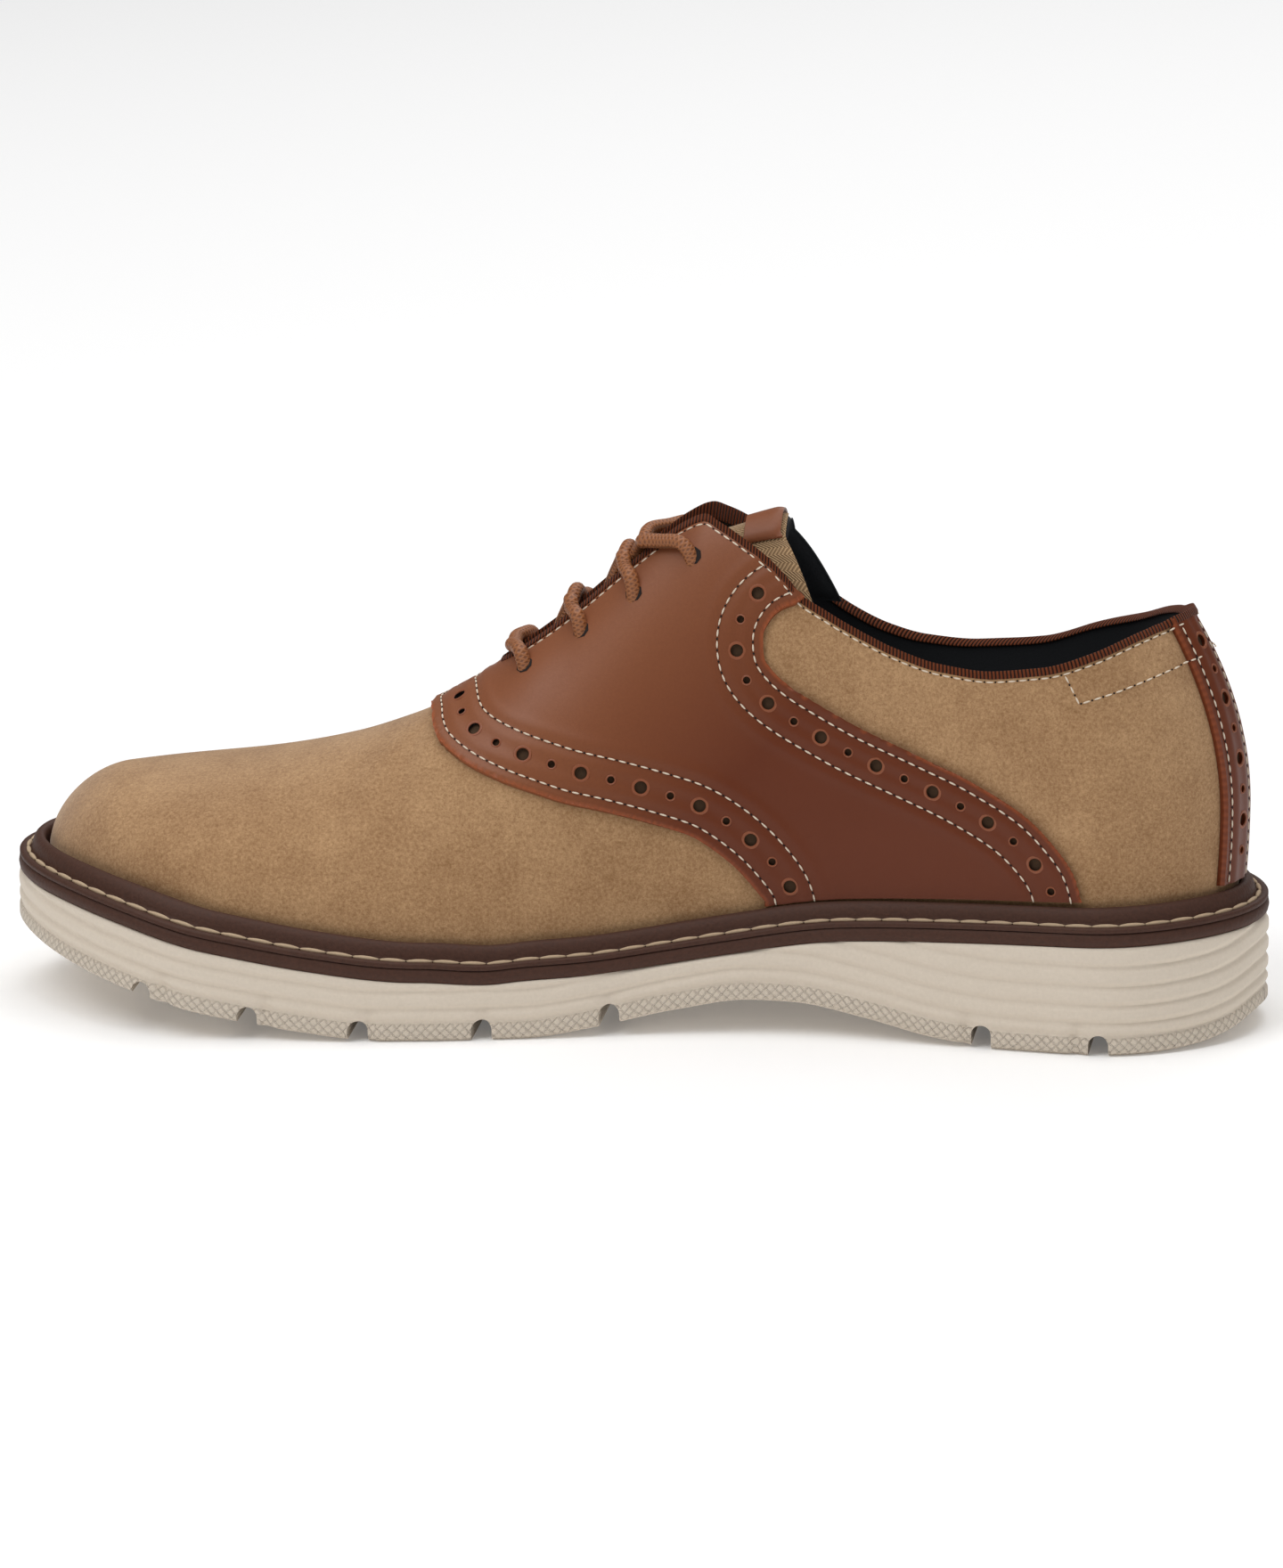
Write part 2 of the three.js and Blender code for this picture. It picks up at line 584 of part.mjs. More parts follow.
function saddle() {
  const before = (saddleEdges[0].front - throatFront) / (saddleEdges[0].front - saddleEdges[0].rear);
  const steps = [0, before / 2, before, 0.22, 0.255, 0.33, 0.46, 0.6, 0.73, 0.86, 1];
  const rows = saddleEdges.length - 1;
  const points = [];
  const under = [];
  const key = new Map();
  const vertex = (i, side, j) => {
    const shared = i === 0 && j <= 2;
    const name = `${i} ${shared ? 0 : side} ${j}`;
    if (!key.has(name)) {
      key.set(name, points.length);
      const edge = saddleEdges[i];
      const at = edge.front + (edge.rear - edge.front) * steps[j];
      const top = shared ? 0 : overlayTop(at, side);
      const v = top + (1 - top) * edge.down;
      points.push(lastPoint(at, side, v, cutAbove));
      under.push(lastPoint(at, side, v, -cutBelow));
    }
    return key.get(name);
  };
  const faces = [];
  for (const side of [-1, 1]) {
    for (let i = 0; i < rows; i += 1) {
      for (let j = 0; j < steps.length - 1; j += 1) {
        const quad = [[i, j], [i + 1, j], [i + 1, j + 1], [i, j + 1]].map(([a, b]) => vertex(a, side, b));
        if (side > 0) quad.reverse();
        quadTo(faces, ...quad);
      }
    }
  }
  return cutFromSkin(shellBody(faces, points, under));
}

// The strip down the back, a band of even width across the heel's end.
function heelStrip() {
  const rows = 10;
  const columns = 6;
  const points = [];
  const under = [];
  for (let i = 0; i <= rows; i += 1) {
    for (let j = 0; j <= columns; j += 1) {
      const aside = -stripShift + stripHalfWidth * ((2 * j) / columns - 1);
      const side = aside < 0 ? -1 : 1;
      const reach = lookUp(footprint, 'medial', 0.03) * halfBall - weltAt(0);
      const turn = Math.asin(Math.min(1, Math.abs(aside) / reach));
      const at = heelRound * (1 - Math.cos(turn));
      const top = overlayTop(at, side);
      const v = top + (overlayFoot - top) * (i / rows);
      points.push(lastPoint(at, side, v, cutAbove));
      under.push(lastPoint(at, side, v, -cutBelow));
    }
  }
  const faces = [];
  for (let i = 0; i < rows; i += 1) {
    for (let j = 0; j < columns; j += 1) {
      const a = i * (columns + 1) + j;
      quadTo(faces, a, a + columns + 1, a + columns + 2, a + 1);
    }
  }
  return cutFromSkin(shellBody(faces, points, under));
}

// Caps for a swept profile of any outline.
function capFaces(profile, start, turned) {
  const outline = profile.map((p) => new THREE.Vector2(p.offset, p.down));
  return THREE.ShapeUtils.triangulateShape(outline, []).map(([a, b, c]) =>
    (turned ? [start + a, start + c, start + b] : [start + a, start + b, start + c]));
}

// Tape over the rim: a leg outside and a top.
function collarBinding() {
  const outside = gap + bindingThickness;
  const profile = [
    { offset: outside, down: bindingReach },
    { offset: outside, down: -tapeGap },
    { offset: gap, down: -tapeGap - bindingThickness },
    { offset: -upperWall, down: -tapeGap - bindingThickness },
    { offset: -upperWall, down: -tapeGap },
    { offset: gap, down: -tapeGap },
    { offset: gap, down: bindingReach },
  ];
  const ats = [tapeFront, ...upperRows.filter((at) => at < tapeFront).reverse()];
  const medial = ats.map((at) => ({ at, side: -1 }));
  const lateral = ats.slice(0, -1).reverse().map((at) => ({ at, side: 1 }));
  const path = [...medial, ...lateral];
  const rings = path.map(({ at, side }) => profile.map((p) => belowRim(at, side, p.down, p.offset)));
  const size = profile.length;
  const body = ringBody(rings, true);
  const faces = body.faces.slice(0, (rings.length - 1) * size * 2);
  const start = (rings.length - 1) * size;
  const turned = THREE.ShapeUtils.area(profile.map((p) => new THREE.Vector2(p.offset, p.down))) < 0;
  faces.push(...capFaces(profile, 0, !turned), ...capFaces(profile, start, turned));
  return geometryOf({ points: body.points, faces });
}

// A point of the tongue: along from its front to its top end, across from -1 to 1.
function tonguePoint(along, across, lift) {
  const half = lookUp(tongueLine, 'half', along);
  const v = Math.abs(across) * half;
  const side = across < 0 ? -1 : 1;
  const end = tongueEnd - tongueSlant * Math.max(0, Math.abs(across) - 0.4) / 0.6;
  const at = tongueFront + (end - tongueFront) * along;
  const depth = lookUp(tongueLine, 'middle', along) * (1 - across * across)
    + lookUp(tongueLine, 'side', along) * across * across;
  return lastPoint(at, side, v, lift - depth);
}

function sheet(rows, columns, from, to, half, top, bottom) {
  const points = [];
  const under = [];
  for (let i = 0; i <= rows; i += 1) {
    for (let j = 0; j <= columns; j += 1) {
      const along = from + ((to - from) * i) / rows;
      const across = half * ((2 * j) / columns - 1);
      points.push(tonguePoint(along, across, top));
      under.push(tonguePoint(along, across, bottom));
    }
  }
  const faces = [];
  for (let i = 0; i < rows; i += 1) {
    for (let j = 0; j < columns; j += 1) {
      const a = i * (columns + 1) + j;
      quadTo(faces, a, a + columns + 1, a + columns + 2, a + 1);
    }
  }
  return geometryOf(shellBody(faces, points, under));
}

const tongue = () => sheet(13, 10, 0, 1, 1, 0, -tongueWall);
const tongueTab = () => {
  const half = tabHalfWidth / lookUp(tongueLine, 'half', tabStart);
  return sheet(3, 6, tabStart, 1.01, half, gap + 0.2 + tabThickness, gap + 0.2);
};

// A round cord through points given along, down and above the last's surface.
function cord(knots) {
  const curve = new THREE.CatmullRomCurve3(
    knots.map((k) => lastPoint(k.along, k.side, k.down, k.offset)), false, 'centripetal');
  const segments = 14;
  const sides = 7;
  const frames = curve.computeFrenetFrames(segments, false);
  const rings = [];
  for (let i = 0; i <= segments; i += 1) {
    const centre = curve.getPointAt(i / segments);
    rings.push(Array.from({ length: sides }, (_, j) => {
      const turn = (2 * Math.PI * j) / sides;
      return centre.clone()
        .addScaledVector(frames.normals[i], laceRadius * Math.cos(turn))
        .addScaledVector(frames.binormals[i], laceRadius * Math.sin(turn));
    }));
  }
  return solidOf(geometryOf(ringBody(rings)));
}

const over = gap + overlayWall + laceGap + laceRadius; // height of a lace lying on the saddle
const below = upperWall + laceGap + laceRadius; // and under the facing

// A share of the way to the feather line, from millimetres off the rim towards the ridge.
function offRim(at, side, up) {
  const rim = rimShare(at, side);
  const reach = lastPoint(at, side, 0, 0).distanceTo(lastPoint(at, side, rim, 0)) / rim;
  return Math.max(0.004, rim - up / reach);
}

// One lace of a crossing: from under an eyelet, up through the gap between the facings and
// over the opposite facing to the next eyelet.
function laceRun(i, side, lift) {
  const from = eyelets[i + 1];
  const to = eyelets[i];
  const start = from.along + from.lean;
  const middle = start + 0.008;
  const end = middle + 0.01;
  const near = (up) => offRim(start, side, up);
  const far = (up) => offRim(end, -side, up);
  return cord([
    { along: from.along, side, down: from.down, offset: over },
    { along: from.along + 0.45 * from.lean, side, down: (from.down + near(0)) / 2, offset: over + 0.4 },
    { along: start - 0.003, side, down: near(-0.6), offset: over + 0.3 },
    { along: start, side, down: near(2.9), offset: over - 1.1 },
    { along: middle, side, down: 0, offset: lift },
    { along: end, side: -side, down: far(3.6), offset: -below + 0.6 },
    { along: end + 0.003, side: -side, down: far(-1), offset: -below - 0.3 },
    { along: to.along, side: -side, down: to.down, offset: -below },
  ]);
}

function laceCrossing(i) {
  const high = laceRun(i, -1, crossHeight);
  const low = laceRun(i, 1, crossHeight - 2 * laceRadius + crossBite);
  return geometryFromSolid(high.add(low));
}

// The lowest lace runs straight across, on top of both facings.
function laceBar() {
  const { along, down, lean } = eyelets[0];
  const middle = along + lean;
  const half = (side) => [
    { along, side, down, offset: over },
    { along: (along + middle) / 2, side, down: (down + rimShare(along, side)) / 2, offset: over + 0.4 },
    { along: middle, side, down: offRim(middle, side, -0.6), offset: over },
  ];
  return geometryFromSolid(cord([
    ...half(-1),
    { along: middle, side: -1, down: 0, offset: over - 0.6 },
    ...half(1).reverse(),
  ]));
}

const materials = {
  foam: new THREE.MeshStandardMaterial({ color: 0xd8cdbb, roughness: 0.7, metalness: 0 }),
  welt: new THREE.MeshStandardMaterial({ color: 0x3d241d, roughness: 0.55, metalness: 0 }),
  suede: new THREE.MeshStandardMaterial({ color: 0xa8855c, roughness: 0.9, metalness: 0 }),
  saddle: new THREE.MeshStandardMaterial({ color: 0x7a432b, roughness: 0.45, metalness: 0 }),
  tape: new THREE.MeshStandardMaterial({ color: 0x5a3423, roughness: 0.8, metalness: 0 }),
  textile: new THREE.MeshStandardMaterial({ color: 0x8f744f, roughness: 0.9, metalness: 0 }),
  lace: new THREE.MeshStandardMaterial({ color: 0xb08a5a, roughness: 0.6, metalness: 0 }),
  lining: new THREE.MeshStandardMaterial({ color: 0x1b1d22, roughness: 0.9, metalness: 0 }),
};

const shoe = new THREE.Group();
function add(name, geometry, material) {
  const mesh = new THREE.Mesh(geometry, material);
  mesh.name = name;
  shoe.add(mesh);
}

add('outsole', outsole(), materials.foam);
add('midsole', midsole(), materials.welt);
add('welt', welt(), materials.welt);
add('insole', insole(), materials.lining);
add('upper', upper(), materials.suede);
add('saddle', saddle(), materials.saddle);
add('heel_strip', heelStrip(), materials.saddle);
add('collar_binding', collarBinding(), materials.tape);
add('tongue', tongue(), materials.textile);
add('tongue_tab', tongueTab(), materials.saddle);
add('lace_bar', laceBar(), materials.lace);
for (let i = 0; i < eyelets.length - 1; i += 1) {
  add(`lace_cross_${i + 1}`, laceCrossing(i), materials.lace);
}

export default shoe;
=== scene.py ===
import math

import bpy
import numpy as np
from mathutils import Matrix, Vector


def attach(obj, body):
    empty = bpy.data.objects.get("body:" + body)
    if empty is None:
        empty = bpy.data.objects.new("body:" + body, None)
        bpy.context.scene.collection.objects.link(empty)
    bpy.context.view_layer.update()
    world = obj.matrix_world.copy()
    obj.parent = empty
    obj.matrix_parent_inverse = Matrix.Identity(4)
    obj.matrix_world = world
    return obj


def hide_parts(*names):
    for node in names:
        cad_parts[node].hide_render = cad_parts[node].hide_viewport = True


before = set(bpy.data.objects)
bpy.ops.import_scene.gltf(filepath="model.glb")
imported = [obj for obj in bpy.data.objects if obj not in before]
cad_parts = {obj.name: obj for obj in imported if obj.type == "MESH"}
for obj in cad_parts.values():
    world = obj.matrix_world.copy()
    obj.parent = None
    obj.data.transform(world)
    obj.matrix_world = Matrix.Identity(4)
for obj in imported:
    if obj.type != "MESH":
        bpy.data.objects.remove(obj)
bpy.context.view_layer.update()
mm = 0.001

# The shoe's own sizes, in millimetres, as in its solids. at runs from heel (0) to toe (1).
shoe = {
    "length": 300, "ballWidth": 105, "gap": 0.3, "seatGap": 0.5,
    "heelSwing": 11.0, "toeSwing": 9.0, "heelBendStart": 20, "toeBendStart": -30, "spineShift": 2.3,
    "heelFoam": 25.8, "ballFoam": 14.4, "archLift": 8.4, "toeSpring": 16.5, "heelBevel": 5.0,
    "midsole": 3.0, "weltWidth": 8.4, "upperWall": 2.0, "overlay": 1.3,
    "instepHeight": 124, "backHeight": 70.5, "backLean": 13.2, "backTuck": 1.2, "backBulgeAt": 23,
    "heelRound": 0.13, "toeRound": 0.155, "toeDome": 0.066, "throatFront": 0.617,
}
footprint = {
    "at": [0, 0.1, 0.22, 0.36, 0.46, 0.56, 0.66, 0.74, 0.83, 0.92, 1],
    "medial": [0.66, 0.725, 0.71, 0.66, 0.72, 0.86, 0.98, 1.02, 1.02, 0.94, 0.82],
    "lateral": [0.66, 0.725, 0.71, 0.73, 0.82, 0.93, 0.99, 0.98, 0.94, 0.84, 0.74],
}
treadLine = {
    "at": [0, 0.014, 0.03, 0.06, 0.09, 0.18, 0.24, 0.3, 0.36, 0.4, 0.46, 0.52, 0.58, 0.69, 0.76,
           0.84, 0.92, 0.97, 1],
    "bevel": [1, 0.45, 0.2, 0.04, 0, 0, 0, 0, 0, 0, 0, 0, 0, 0, 0, 0, 0, 0, 0],
    "arch": [0, 0, 0, 0, 0, 0, 0.2, 0.62, 0.96, 1, 0.7, 0.27, 0, 0, 0, 0, 0, 0, 0],
    "spring": [0, 0, 0, 0, 0, 0, 0, 0, 0, 0, 0, 0, 0, 0, 0.12, 0.35, 0.64, 0.84, 1],
}
foamLine = {
    "at": [0, 0.1, 0.22, 0.32, 0.42, 0.52, 0.59, 0.66, 0.75, 0.84, 0.92, 0.965, 1],
    "heel": [1.04, 1.02, 0.985, 0.92, 0.755, 0.59, 0.535, 0, 0, 0, 0, 0, 0],
    "ball": [0, 0, 0, 0, 0, 0, 0, 1, 1, 1, 1, 1, 1],
    "spring": [0, 0, 0, 0, 0, 0, 0, 0, 0.15, 0.42, 0.715, 0.83, 0.88],
}
weltLine = {
    "at": [0, 0.12, 0.3, 0.5, 0.85, 1],
    "width": [0.86, 0.86, 0.95, 1, 1, 0.86],
}
lastSections = {
    "at": [0, 0.1, 0.2, 0.3, 0.375, 0.4385, 0.462, 0.505, 0.55, 0.59, 0.638, 0.668, 0.7, 0.744,
           0.82, 0.91, 1],
    "ridge": [1.01, 0.995, 0.975, 0.985, 1.005, 0.98, 0.944, 0.861, 0.767, 0.694, 0.612, 0.573, 0.541,
              0.506, 0.468, 0.443, 0.418],
    "shift": [0, 0, 0, -1, -2, -3, -3, -4, -4, -5, -5, -5, -5, -5, -4, -3, 0],
    "flare": [2, 2.4, 2.4, 1.6, 1.2, 1.2, 1.2, 1.3, 1.6, 1.9, 2.3, 2.5, 2.7, 2.8, 2.8, 2.6, 2.2],
    "rise": [0.45, 0.45, 0.43, 0.38, 0.34, 0.32, 0.32, 0.33, 0.36, 0.4, 0.45, 0.49, 0.53, 0.58,
             0.62, 0.64, 0.6],
    "medial": [1, 1.02, 1, 0.86, 0.68, 0.56, 0.53, 0.48, 0.45, 0.44, 0.44, 0.45, 0.46, 0.47, 0.5,
               0.54, 0.56],
    "lateral": [1, 1.02, 1, 0.86, 0.7, 0.6, 0.57, 0.54, 0.52, 0.51, 0.5, 0.5, 0.5, 0.5, 0.52, 0.55,
                0.56],
}
rimLine = {
    "at": [0, 0.012, 0.03, 0.074, 0.127, 0.175, 0.23, 0.275, 0.304, 0.333, 0.362, 0.3865, 0.411, 0.432,
           0.445, 0.47, 0.51, 0.56, 0.595, 0.61, 0.617],
    "medial": [0.445, 0.447, 0.457, 0.487, 0.51, 0.512, 0.497, 0.465, 0.434, 0.4, 0.36, 0.296, 0.23, 0.165,
               0.12, 0.09, 0.084, 0.078, 0.064, 0.035, 0],
    "lateral": [0.45, 0.453, 0.465, 0.502, 0.53, 0.552, 0.555, 0.54, 0.515, 0.475, 0.415, 0.34, 0.25, 0.17,
                0.12, 0.08, 0.078, 0.074, 0.06, 0.033, 0],
}
halfLength = shoe["length"] / 2
halfBall = shoe["ballWidth"] / 2


def lookUp(table, name, at):  # a smooth curve through a table's rows, monotone between them
    x = np.asarray(table["at"], float)
    y = np.asarray(table[name], float)
    at = np.clip(np.asarray(at, float), x[0], x[-1])
    slope = np.diff(y) / np.diff(x)
    before, after = slope[:-1], slope[1:]
    product = before * after
    total = np.where(product > 0, before + after, 1)
    inner = np.where(product > 0, 2 * product / total, 0)
    tangent = np.concatenate([slope[:1], inner, slope[-1:]])
    i = np.clip(np.searchsorted(x, at, side="right") - 1, 0, len(x) - 2)
    width = x[i + 1] - x[i]
    s = (at - x[i]) / width
    value = (2 * s**3 - 3 * s**2 + 1) * y[i] + (3 * s**2 - 2 * s**3) * y[i + 1]
    return value + width * ((s**3 - 2 * s**2 + s) * tangent[i] + (s**3 - s**2) * tangent[i + 1])


def quarter(share, span):  # 0 to 1 on a quarter ellipse, then level
    rest = np.clip((span - share) / span, 0, 1)
    return np.sqrt(1 - rest**2)


def roundEnds(at):
    return quarter(at, shoe["heelRound"]) * quarter(1 - at, shoe["toeRound"])


def smooth(low, high, value):
    s = np.clip((value - low) / (high - low), 0, 1)
    return s * s * (3 - 2 * s)


def place(x, aside, z):  # a point off the plan's spine, which bends inwards at both ends
    heelReach = halfLength - shoe["heelBendStart"]
    toeReach = halfLength + shoe["toeBendStart"]
    heel = np.maximum(0, x - shoe["heelBendStart"]) / heelReach
    toe = np.maximum(0, shoe["toeBendStart"] - x) / toeReach
    y = shoe["spineShift"] - shoe["heelSwing"] * heel**2 - shoe["toeSwing"] * toe**2
    slope = -2 * shoe["heelSwing"] * heel / heelReach + 2 * shoe["toeSwing"] * toe / toeReach
    length = np.hypot(1, slope)
    return np.stack(np.broadcast_arrays(x - aside * slope / length, y + aside / length, z), -1)


def weltAt(at):
    return lookUp(weltLine, "width", at) * shoe["weltWidth"]


def alongX(at, grow):
    return (halfLength + grow) * (1 - 2 * at)


def bySide(table, at, side):
    return np.where(side < 0, lookUp(table, "medial", at), lookUp(table, "lateral", at))


def halfWidth(at, side, grow):
    return (bySide(footprint, at, side) * halfBall + grow) * roundEnds(at)


def treadZ(at):
    return (lookUp(treadLine, "bevel", at) * shoe["heelBevel"]
            + lookUp(treadLine, "arch", at) * shoe["archLift"]
            + lookUp(treadLine, "spring", at) * shoe["toeSpring"])


def foamZ(at):
    return (lookUp(foamLine, "heel", at) * shoe["heelFoam"]
            + lookUp(foamLine, "ball", at) * shoe["ballFoam"]
            + lookUp(foamLine, "spring", at) * shoe["toeSpring"])


def featherZ(at):
    return foamZ(at) + shoe["gap"] + shoe["midsole"] + shoe["seatGap"]


def backCurve(height):
    bulge, tuck = shoe["backBulgeAt"], shoe["backTuck"]
    low = tuck * (1 - ((bulge - height) / bulge) ** 2)
    high = tuck - (shoe["backLean"] + tuck) * ((height - bulge) / (shoe["backHeight"] - bulge)) ** 2
    return np.where(height < bulge, low, high)


def lastPoint(at, side, v, offset):  # v runs from the ridge (0) to the feather line (1)
    at, side, v, offset = np.broadcast_arrays(*(np.asarray(k, float) for k in (at, side, v, offset)))
    grow = offset - weltAt(at)
    ends = roundEnds(at)
    foot = featherZ(at)
    fall = lookUp(lastSections, "ridge", at - 0.01) - lookUp(lastSections, "ridge", at + 0.01)
    slope = fall * shoe["instepHeight"] / (0.04 * (halfLength + grow))
    lift = offset * np.hypot(1, slope)
    top = lookUp(lastSections, "ridge", at) * shoe["instepHeight"] + lift - foot
    height = top * quarter(1 - at, shoe["toeDome"])
    shift = lookUp(lastSections, "shift", at) * ends
    width = side * halfWidth(at, side, grow)
    shoulder = bySide(lastSections, at, side)
    belly = width + side * lookUp(lastSections, "flare", at) * ends
    w = 1 - v
    k0, k1, k2, k3 = w**3, 3 * w * w * v, 3 * w * v * v, v**3
    aside = k0 * shift + k1 * (shift + width * shoulder) + k2 * belly + k3 * width
    up = (k0 + k1) * height + k2 * height * lookUp(lastSections, "rise", at)
    point = place(alongX(at, grow), aside, foot + up)
    point[..., 0] += backCurve(up) * (1 - smooth(0, 0.3, at))
    return point


def rimShare(at, side):
    return np.where(at >= shoe["throatFront"], 0, bySide(rimLine, at, side))


def belowRim(at, side, down):  # the share that lies this many millimetres below the rim
    rim = rimShare(at, side)
    step = 0.03
    reach = np.linalg.norm(lastPoint(at, side, rim, 0) - lastPoint(at, side, rim + step, 0), axis=-1)
    return np.maximum(0, rim + down * step / reach)


def overlayTop(at, side, clear):  # the same, fading out towards the front of the throat
    fade = np.clip((shoe["throatFront"] - at) / 0.02, 0, 1)
    return np.where(at >= shoe["throatFront"], 0, belowRim(at, side, clear * fade))


def surfaceFrame(at, side, v, offset):  # a point, the way along, the way down and the way out
    nudge = 1e-4
    point = lastPoint(at, side, v, offset)
    along = (lastPoint(at + nudge, side, v, offset) - lastPoint(at - nudge, side, v, offset)) / (2 * nudge)
    down = (lastPoint(at, side, v + nudge, offset) - lastPoint(at, side, v - nudge, offset)) / (2 * nudge)
    normal = np.cross(along, down)
    outward = lastPoint(at, side, v, offset + 1) - point
    normal *= np.sign(np.sum(normal * outward, -1))[..., None]
    return point, along, down, normal / np.linalg.norm(normal, axis=-1)[..., None]


# Meshes from grids of points.
def gridQuads(rows, cols, start=0, loop=False):
    index = start + np.arange(rows * cols).reshape(rows, cols)
    if loop:
        index = np.concatenate([index, index[:, :1]], axis=1)
    corners = [index[:-1, :-1], index[1:, :-1], index[1:, 1:], index[:-1, 1:]]
    return np.stack(corners, -1).reshape(-1, 4)


def mergedFaces(points, quads):  # points that lie together become one
    spots = np.round(points, 4)
    _, first, back = np.unique(spots, axis=0, return_index=True, return_inverse=True)
    faces = []
    for quad in back.ravel()[quads]:
        ring = [int(k) for i, k in enumerate(quad) if k != quad[i - 1]]
        if len(set(ring)) >= 3:
            faces.append(ring)
    return first, faces


def layMap(mesh, uv):  # a map from one pair of numbers for each point
    loops = np.zeros(len(mesh.loops), np.int32)
    mesh.loops.foreach_get("vertex_index", loops)
    layer = mesh.uv_layers.new(name="cloth")
    layer.data.foreach_set("uv", np.asarray(uv, np.float32)[loops].ravel())


def makePiece(name, points, faces, material, uv=None, sharp=40):
    corners = np.array([f[:3] for f in faces])
    a, b, c = (points[corners[:, k]] for k in range(3))
    if np.sum(a * np.cross(b, c)) < 0:
        faces = [f[::-1] for f in faces]
    mesh = bpy.data.meshes.new(name)
    mesh.from_pydata((points * mm).tolist(), [], faces)
    if uv is not None:
        layMap(mesh, uv)
    mesh.materials.append(material)
    mesh.shade_smooth()
    mesh.set_sharp_from_angle(angle=math.radians(sharp))
    piece = bpy.data.objects.new(name, mesh)
    bpy.context.scene.collection.objects.link(piece)
    return piece


def mergedPiece(name, grid, material, sharp=40):  # closed rows of points; those that lie together join
    rows, cols = grid.shape[:2]
    points = grid.reshape(-1, 3)
    first, faces = mergedFaces(points, gridQuads(rows, cols, 0, True))
    return makePiece(name, points[first], faces, material, sharp=sharp)


def tubePiece(name, grid, run, across, material, sharp=40):  # closed rows with a flat face at each end
    rows, cols = grid.shape[:2]
    faces = [list(map(int, quad)) for quad in gridQuads(rows, cols, 0, True)]
    faces += [list(range(cols))[::-1], [k + (rows - 1) * cols for k in range(cols)]]
    uv = np.stack(np.broadcast_arrays(run[:, None], across[None, :]), -1).reshape(-1, 2)
    return makePiece(name, grid.reshape(-1, 3), faces, material, uv, sharp)


def shellPiece(name, sheets, material, uv=None):  # (outer, inner, turned) grids, joined and closed
    outers, inners, quads, start = [], [], [], 0
    for outer, inner, turned in sheets:
        rows, cols = outer.shape[:2]
        some = gridQuads(rows, cols, start)
        quads.append(some[:, ::-1] if turned else some)
        outers.append(outer.reshape(-1, 3))
        inners.append(inner.reshape(-1, 3))
        start += rows * cols
    outer, inner = np.concatenate(outers), np.concatenate(inners)
    first, faces = mergedFaces(outer, np.concatenate(quads))
    count = len(first)
    edges = set()
    for face in faces:
        edges.update(zip(face, face[1:] + face[:1]))
    walls = [[a, a + count, b + count, b] for a, b in sorted(edges) if (b, a) not in edges]
    backs = [[k + count for k in reversed(face)] for face in faces]
    cloth = None if uv is None else np.tile(uv.reshape(-1, 2)[first], (2, 1))
    points = np.concatenate([outer[first], inner[first]])
    return makePiece(name, points, faces + backs + walls, material, cloth)


def spacing(count):  # stations that lie closer together at both ends
    return (1 - np.cos(np.pi * np.arange(count + 1) / count)) / 2


def footRing(ats, grow, height):  # round the footprint: the medial side, then the lateral side back
    def line(at, side, g, z):
        return place(alongX(at, g), side * halfWidth(at, side, g), z)
    medial = line(ats, -1, grow, height)
    lateral = line(ats, 1, grow, height)
    return np.concatenate([medial, lateral[1:-1][::-1]])


def arcLength(points):
    return np.concatenate([[0], np.cumsum(np.linalg.norm(np.diff(points, axis=0), axis=1))])


def finishPiece(piece, replaced=()):
    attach(piece, "root")
    for node in replaced:
        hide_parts(node)
    return piece


# Shader work: sums on sockets, and one method for every other node.
class Wire:
    def __init__(self, shop, socket):
        self.shop, self.socket = shop, socket

    def work(self, operation, first, second=None):
        values = {0: first} if second is None else {0: first, 1: second}
        return self.shop.node("ShaderNodeMath", {"operation": operation}, values)

    def __add__(self, other):
        return self.work("ADD", self, other)

    def __sub__(self, other):
        return self.work("SUBTRACT", self, other)

    def __rsub__(self, other):
        return self.work("SUBTRACT", other, self)

    def __mul__(self, other):
        return self.work("MULTIPLY", self, other)

    def __lt__(self, other):
        return self.work("LESS_THAN", self, other)

    def __gt__(self, other):
        return self.work("GREATER_THAN", self, other)

    def sine(self):
        return self.work("SINE", self)

    def size(self):
        return self.work("ABSOLUTE", self)

    def atMost(self, other):
        return self.work("MINIMUM", self, other)

    def atLeast(self, other):
        return self.work("MAXIMUM", self, other)


